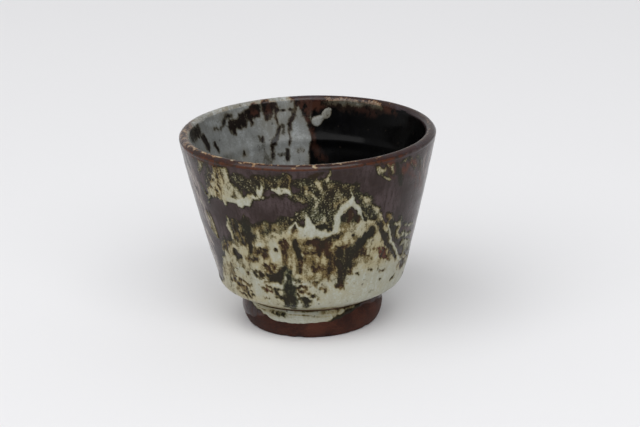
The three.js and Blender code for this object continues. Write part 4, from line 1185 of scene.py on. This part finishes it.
pourSheet, places = glazeSheet("pourSheet", line, wallSheet, 0, True, outerFields)
pour = readField(pourSheet, "pour")
rise = pourForm["lift"] * ease(pourForm["thin"], pourForm["full"], pour) - pourForm["sink"]
raiseBy(pourSheet, wobble(places) + rise)
turned, height = angleOf(places), places[:, 2]
covered = pour > pourForm["cut"]
inUpperRun = between(turned, pourForm["upperTurn"]) & between(height, pourForm["upperHeight"])
inLowerPour = between(height, pourForm["lowerHeight"]) & ~inUpperRun
inLowerPour &= (height < pourForm["lowerTop"]) | between(turned, pourForm["lowerFront"])
lowerPalePour = copyOf(pourSheet, "lowerPalePour")
upperPaleRun = renamed(pourSheet, "upperPaleRun")
thickness = pourForm["thickness"]
cutCoat(lowerPalePour, covered & inLowerPour, thickness, paleGlaze, "lower_pale_pour")
cutCoat(upperPaleRun, covered & inUpperRun, thickness, paleGlaze, "upper_pale_run")

# Lip: a rounded ring that dips under the coats on both sides
lipRing = {"segments": 128, "rings": 13, "levels": 2, "overlap": 24, "wall": 0.6}


def lipLine(radius):
    swing = np.radians(np.linspace(-lipRing["overlap"], 180 + lipRing["overlap"], lipRing["rings"]))
    return np.stack([lipCentre[0] + radius * np.cos(swing), lipCentre[1] + radius * np.sin(swing)], 1)


# Round the lip, over the rust brown: amber and cream flecks along the top at the front, partly glaze that
# breaks thin on the edge and partly painted highlight; mauve and cream on the left; plum on the right, with a
# thin mauve line along the inner edge that is a painted highlight; rust and moss at the back right; and the
# inside's own glaze at the back left
def rimFields(points):
    swing = lipSwing(points)
    turned = angleOf(points) + 6 * noiseAt(points, 5, 65)
    fields = outerFields(points)
    # partly painted highlight: amber and cream flecks on the top edge at the front, where the glaze also
    # breaks thin
    front = ease(-82, -66, turned) * ease(44, 26, turned)
    low = 70 - 44 * ease(0.1, 0.5, noiseAt(points * (1, 1, 0), 2.6, 68))
    edge = front * ease(low - 8, low + 8, swing) * ease(114, 102, swing)
    amber = ease(-0.4, -0.05, noiseAt(points, 5, 63)) * ease(34, 14, turned)
    fields = blendIn(fields, 0.9 * edge * amber, "amber")
    fields = blendIn(fields, 0.9 * edge * ease(0.12, 0.35, noiseAt(points, 1.8, 66)), "cream")
    left = ease(-56, -72, turned) * ease(-124, -108, turned)
    fields = blendIn(fields, 0.9 * left * ease(4, 34, swing), "mauve")
    flecks = ease(0.0, 0.3, noiseAt(points, 3, 64))
    fields = blendIn(fields, 0.6 * left * ease(20, 50, swing) * flecks, "cream")
    right = ease(26, 50, turned) * ease(124, 108, turned)
    fields = blendIn(fields, 0.8 * right * ease(10, 40, swing), "plum")
    # painted highlight: a thin mauve line along the inner edge of the lip on the right
    fields = blendIn(fields, 0.8 * right * ease(70, 96, swing) * ease(132, 112, swing), "mauve")
    backRight = ease(108, 126, turned) * ease(174, 164, turned)
    fields = blendIn(fields, backRight * ease(0, 30, swing), "lip")
    mossy = ease(96, 132, swing) * ease(-0.5, 0.1, noiseAt(points, 6, 69))
    fields = blendIn(fields, 0.7 * backRight * mossy, "moss")
    backLeft = ease(-104, -118, turned) * ease(-173, -168, turned)
    start = 104 - 96 * backLeft
    inner = ease(start, start + 44, swing)[:, None]
    fields = fields + inner * (innerFields(points) - fields)
    bright = ease(-102, -112, turned) * ease(-138, -128, turned)
    return blendIn(fields, 0.8 * bright * ease(10, 60, swing), "white")


closedLip = np.vstack([lipLine(form["lipRadius"]), lipLine(form["lipRadius"] - lipRing["wall"])[::-3]])
rimGlaze = turn("rimGlaze", closedLip, lipRing["segments"], closed=True)
subdivide(rimGlaze, lipRing["levels"])
places = spots(rimGlaze)
storeFields(rimGlaze, rimFields(places))
raiseBy(rimGlaze, wobble(places))
finishPiece(rimGlaze, rustGlaze, "rim_glaze")

# Inside: one sheet, parted along the wavering line. The dark half runs on a little under the pale one.
liningSheet = {
    "segments": 128,
    "levels": 2,
    "gather": 0.34,
    "wallRings": 30,
    "topTuck": (0.3, 0.9),
    "thickness": 0.45,
    "under": 2.5,
    "over": 1.2,
    "sink": 0.12,
    "step": 0.2,
    "ridge": 0.42,  # left by the potter's fingers
    "ridgeHeight": 66.2,
    "ridgeSway": 1.2,
    "ridgeWidth": 1.9,
}
line = innerLine()
onWall = line[:, 1] > form["floorHeight"] + 0.5
wallPart = evenly(line[onWall], liningSheet["wallRings"])
line = np.vstack([[np.add(innerTop, liningSheet["topTuck"])], wallPart, line[~onWall][1:]])[::-1]
innerSheet, places = glazeSheet("innerSheet", line, liningSheet, 180, False, innerFields, filled=True)
ridgeAt = liningSheet["ridgeHeight"] + liningSheet["ridgeSway"] * noiseAt(places, 40, 44)
ridge = liningSheet["ridge"] * np.exp(-((places[:, 2] - ridgeAt) / liningSheet["ridgeWidth"]) ** 2)
raiseBy(innerSheet, ridge - wobble(places))
aside = places[:, 0] - meetingLine(places[:, 1])
innerDarkGlaze = copyOf(innerSheet, "innerDarkGlaze")
innerPaleGlaze = renamed(innerSheet, "innerPaleGlaze")
step, sink, thickness = liningSheet["step"], liningSheet["sink"], liningSheet["thickness"]
raiseBy(innerDarkGlaze, -sink * ease(0, -1.2, aside))
raiseBy(innerPaleGlaze, step * ease(0.4, -1.4, aside) - sink * ease(-0.6, 0.6, aside))
inDark, inPale = aside > -liningSheet["under"], aside < liningSheet["over"]
cutCoat(innerDarkGlaze, inDark, thickness, blackGlaze, "inner_dark_glaze")
cutCoat(innerPaleGlaze, inPale, thickness, greyGlaze, "inner_pale_glaze")

# Pale drip on the dark half of the far wall: a flat lump drawn out into a tail
drip = {
    "bead": (4.2, 74.4),  # aside, height
    "beadRadius": 2.5,
    "tail": (10.2, 79.4),
    "tailRadius": 1.9,
    "neck": 1.15,
    "neckAt": 0.38,
    "neckLength": 0.17,
    "taper": 0.6,
    "bend": 0.8,
    "height": 0.7,
    "sink": 0.2,
    "thickness": 0.4,
    "sheetMiddle": (6.8, 76.8),
    "sheetSize": (14, 13),
    "cells": 70,
}


def wallRadius(height):
    wall = innerLine()[:34][::-1]
    return np.interp(height, wall[:, 1], wall[:, 0])


bpy.ops.object.select_all(action="DESELECT")
bpy.ops.mesh.primitive_grid_add(x_subdivisions=drip["cells"], y_subdivisions=drip["cells"], size=1)
innerPaleDrip = renamed(bpy.context.object, "innerPaleDrip")
flat = spots(innerPaleDrip) * mm
aside = drip["sheetMiddle"][0] + drip["sheetSize"][0] * flat[:, 0]
level = drip["sheetMiddle"][1] + drip["sheetSize"][1] * flat[:, 1]
share = np.linspace(0, 1, 24)
bead, tail = drip["bead"], drip["tail"]
spineAside = bead[0] + (tail[0] - bead[0]) * share + drip["bend"] * np.sin(share * math.pi)
spineLevel = bead[1] + (tail[1] - bead[1]) * share
spineWidth = drip["beadRadius"] + (drip["tailRadius"] - drip["beadRadius"]) * share
neck = drip["neck"] * np.exp(-((share - drip["neckAt"]) / drip["neckLength"]) ** 2)
spineWidth -= neck + drip["taper"] * ease(0.75, 1, share)
flatPlaces = np.stack([aside, level, np.zeros(len(aside))], 1)
ragged = 0.35 * noiseAt(flatPlaces, 2.2, 71)
away = np.hypot(aside[:, None] - spineAside, level[:, None] - spineLevel) / spineWidth
away = np.min(away, axis=1) + 0.5 * ragged
rise = drip["height"] * np.sqrt(np.clip(1 - away ** 2, 0, 1)) - drip["sink"]
reach = wallRadius(level)
around = np.arcsin(np.clip(aside / reach, -1, 1))
reach = reach - rise
setSpots(innerPaleDrip, np.stack([reach * np.sin(around), reach * np.cos(around), level], 1))
faceAway(innerPaleDrip, False)
lump = plainFields(flatPlaces, "green")
lump = blendIn(lump, 0.8 * ease(0.62, 0.98, away), "olive")
lump = blendIn(lump, 0.7 * ease(6.2, 8.2, aside + noiseAt(flatPlaces, 1.6, 72)), "mottle")
storeFields(innerPaleDrip, lump)
cutCoat(innerPaleDrip, away < 1.08, drip["thickness"], greyGlaze, "inner_pale_drip")

# Foot ring: turned, with a worn edge, and the glazes on it
footForm = {
    "segments": 96,
    "rings": 18,
    "sheetRings": 14,
    "levels": 2,
    "gather": 0.25,
    "relief": 0.10,
    "chip": 0.35,
    "chipRadius": 28.4,
    "skirtLift": 0.55,
    "skirtSink": 0.15,
    "darkLift": 0.3,
    "darkSink": 0.1,
    "overlap": 0.7,
    "under": 2,  # how far the dark coat runs on under the skirt
    "thickness": 0.4,
}
baseEdge = footLine()
bore = form["footBore"]
narrow = bore - form["boreDraft"]
boreLine = [
    (form["footTop"] - 1.2, footHeight), (bore, footHeight), (narrow, footHeight - 0.1),
    (narrow, footHeight - 0.6), (bore - 0.6, 6.5), (bore - 0.05, 1.2), (bore + 0.25, 0.35),
    (bore + 0.9, 0.02), (bore + 2.4, 0), (baseEdge[0][0] - 1.6, 0),
]
wholeFoot = np.vstack([evenly(baseEdge, footForm["rings"]), boreLine])
footRing = turn("footRing", wholeFoot, footForm["segments"], closed=True)
subdivide(footRing, footForm["levels"])
gatherColumns(footRing, 0, footForm["gather"])
places = spots(footRing)
atEdge = np.abs(np.hypot(places[:, 0], places[:, 1]) - footForm["chipRadius"])
chips = ease(0.25, 0.6, noiseAt(places, 5, 81)) * ease(2.4, 0.3, places[:, 2]) * ease(1.2, 0.2, atEdge)
relief = footForm["relief"] * noiseAt(places, 9, 82, 0.5)
raiseBy(footRing, relief * ease(0.2, 2, places[:, 2]) - footForm["chip"] * chips)
finishPiece(footRing, bareClay, "foot_ring")

line = evenly(baseEdge[2:], footForm["sheetRings"])
footSheet, places = glazeSheet("footSheet", line, footForm, 0, True, footFields)
turned, height = melted(places, 51, 0.5)[:2]
skirtDepth = height - edgeAt(skirtEdge, turned)
darkDepth = height - edgeAt(footDarkEdge, turned)
relief = footForm["relief"] * noiseAt(places, 9, 82, 0.5)
footPaleSkirt = copyOf(footSheet, "footPaleSkirt")
footDarkGlaze = renamed(footSheet, "footDarkGlaze")
raiseBy(footPaleSkirt, relief + footForm["skirtLift"] * ease(-0.4, 1.2, skirtDepth) - footForm["skirtSink"])
swell = ease(-0.6, 2.4, np.minimum(darkDepth, 1.5 - skirtDepth))
raiseBy(footDarkGlaze, relief + footForm["darkLift"] * swell - footForm["darkSink"])
inSkirt = skirtDepth > -footForm["overlap"]
inDark = (darkDepth > -footForm["overlap"]) & (skirtDepth < footForm["under"])
cutCoat(footPaleSkirt, inSkirt, footForm["thickness"], paleGlaze, "foot_pale_skirt")
cutCoat(footDarkGlaze, inDark, footForm["thickness"], darkGlaze, "foot_dark_glaze")

# Luting slip: an uneven bead squeezed out of the joint
slipBead = {
    "segments": 96,
    "levels": 2,
    "relief": 0.18,
    "line": [
        (29.0, 12.3), (29.5, 12.6), (29.5, 13.1), (29.0, 13.4), (26, 13.3), (22, 13.3), (20.4, 13.2),
        (20.2, 12.9), (20.4, 12.5), (22, 12.4), (26, 12.4),
    ],
}
lutingSlip = turn("lutingSlip", slipBead["line"], slipBead["segments"], closed=True)
subdivide(lutingSlip, slipBead["levels"])
raiseBy(lutingSlip, slipBead["relief"] * noiseAt(spots(lutingSlip), 6, 85, 0.5))
finishPiece(lutingSlip, firedSlip, "foot_luting_slip")

# Clay body under the coats: it shows only in the recess of the foot
bodyForm = {
    "segments": 96,
    "levels": 2,
    "baseRings": (6, 14, 22, 27, 28.6),
    "outerRings": 16,
    "innerRings": 22,
}
skin = form["coat"] - form["seat"]
clayLine = np.vstack([
    [(radius, waistHeight) for radius in (form["axisRadius"], *bodyForm["baseRings"])],
    evenly(beside(outerLine(), -skin), bodyForm["outerRings"])[1:],
    lipLine(form["lipRadius"] - lipRing["wall"])[2:-2],
    evenly(beside(innerLine(), -skin), bodyForm["innerRings"])[1:-1],
    [(form["axisRadius"], form["floorHeight"] - skin)],
])
clayBody = turn("clayBody", clayLine, bodyForm["segments"], filled=True, capped=True)
subdivide(clayBody, bodyForm["levels"])
places = spots(clayBody)
raiseBy(clayBody, wobble(places) * np.sign(np.sum(places[:, :2] * normals(clayBody)[:, :2], 1)))
finishPiece(clayBody, bareClay, "clay_body")

# Camera at the angle of the photograph
view = {
    "eye": (0, -0.8072, 0.3196),
    "target": (0, 0, 0.042),
    "lens": 110.2,
    "sensor": 36,
    "roll": -1.71,
    "right": 4.29,  # how far the aim is shifted, in millimetres
    "up": 4.39,
}


def axesAt(eye, aim):
    ahead = (aim - eye).normalized()
    right = ahead.cross(Vector((0, 0, 1))).normalized()
    roll = Matrix.Rotation(math.radians(view["roll"]), 3, -ahead)
    return roll @ right, roll @ right.cross(ahead), ahead


eye, target = Vector(view["eye"]), Vector(view["target"])
right, up, ahead = axesAt(eye, target)
right, up, ahead = axesAt(eye, target + (view["right"] * right + view["up"] * up) * mm)
cameraData = bpy.data.cameras.new("camera")
cameraData.lens = view["lens"]
cameraData.sensor_width = view["sensor"]
camera = bpy.data.objects.new("camera", cameraData)
bpy.context.scene.collection.objects.link(camera)
camera.matrix_world = Matrix.Translation(eye) @ Matrix((right, up, -ahead)).transposed().to_4x4()
bpy.context.scene.camera = camera

# Plain pale table and soft studio light
studio = {
    "floor": (232, 232, 234),
    "floorSize": 8,
    "key": {"energy": 122, "place": (-1.5, -1.9, 3.3), "size": 4.4},
    "fill": {"energy": 60, "place": (1.3, -2.6, 2.7), "size": 2.6},
    "skyLow": 0.13,
    "skyHigh": 0.5,
    "skyAside": -0.35,  # where the bright part of the sky lies
    "skyRise": 0.8,
    "skySoftness": 0.6,
}
bpy.ops.object.select_all(action="DESELECT")
bpy.ops.mesh.primitive_plane_add(size=studio["floorSize"])
table = renamed(bpy.context.object, "table")
tablePaper, tree, shader, place = shaderOf("tablePaper", {"Roughness": 0.8, "Specular IOR Level": 0.2})
shader.inputs["Base Color"].default_value = tint(*studio["floor"])
table.data.materials.append(tablePaper)
world = bpy.data.worlds.new("studio")
world.use_nodes = True
tree = world.node_tree
skyPlace = tree.nodes.new("ShaderNodeTexCoord").outputs["Generated"]
skyAxes = addNode(tree, "ShaderNodeSeparateXYZ", {}, {0: skyPlace}).outputs
lean = sums(tree, "MULTIPLY_ADD", skyAxes["X"], studio["skyAside"], skyAxes["Y"])
lean = sums(tree, "MULTIPLY_ADD", skyAxes["Z"], studio["skyRise"], lean)
behind = rampOf(tree, lean, -studio["skySoftness"], studio["skySoftness"])
strength = sums(tree, "MULTIPLY_ADD", behind, studio["skyHigh"] - studio["skyLow"], studio["skyLow"])
tree.links.new(strength, tree.nodes["Background"].inputs["Strength"])
tree.nodes["Background"].inputs["Color"].default_value = (1, 1, 1, 1)
bpy.context.scene.world = world
for lampName in ("key", "fill"):
    lampData = bpy.data.lights.new(lampName, "AREA")
    lampData.energy = studio[lampName]["energy"]
    lampData.size = studio[lampName]["size"]
    lamp = bpy.data.objects.new(lampName, lampData)
    bpy.context.scene.collection.objects.link(lamp)
    lamp.location = studio[lampName]["place"]
    lamp.rotation_euler = (target - lamp.location).to_track_quat("-Z", "Y").to_euler()
bpy.context.scene.view_settings.view_transform = "Standard"

bpy.context.view_layer.update()
print("scene ready")
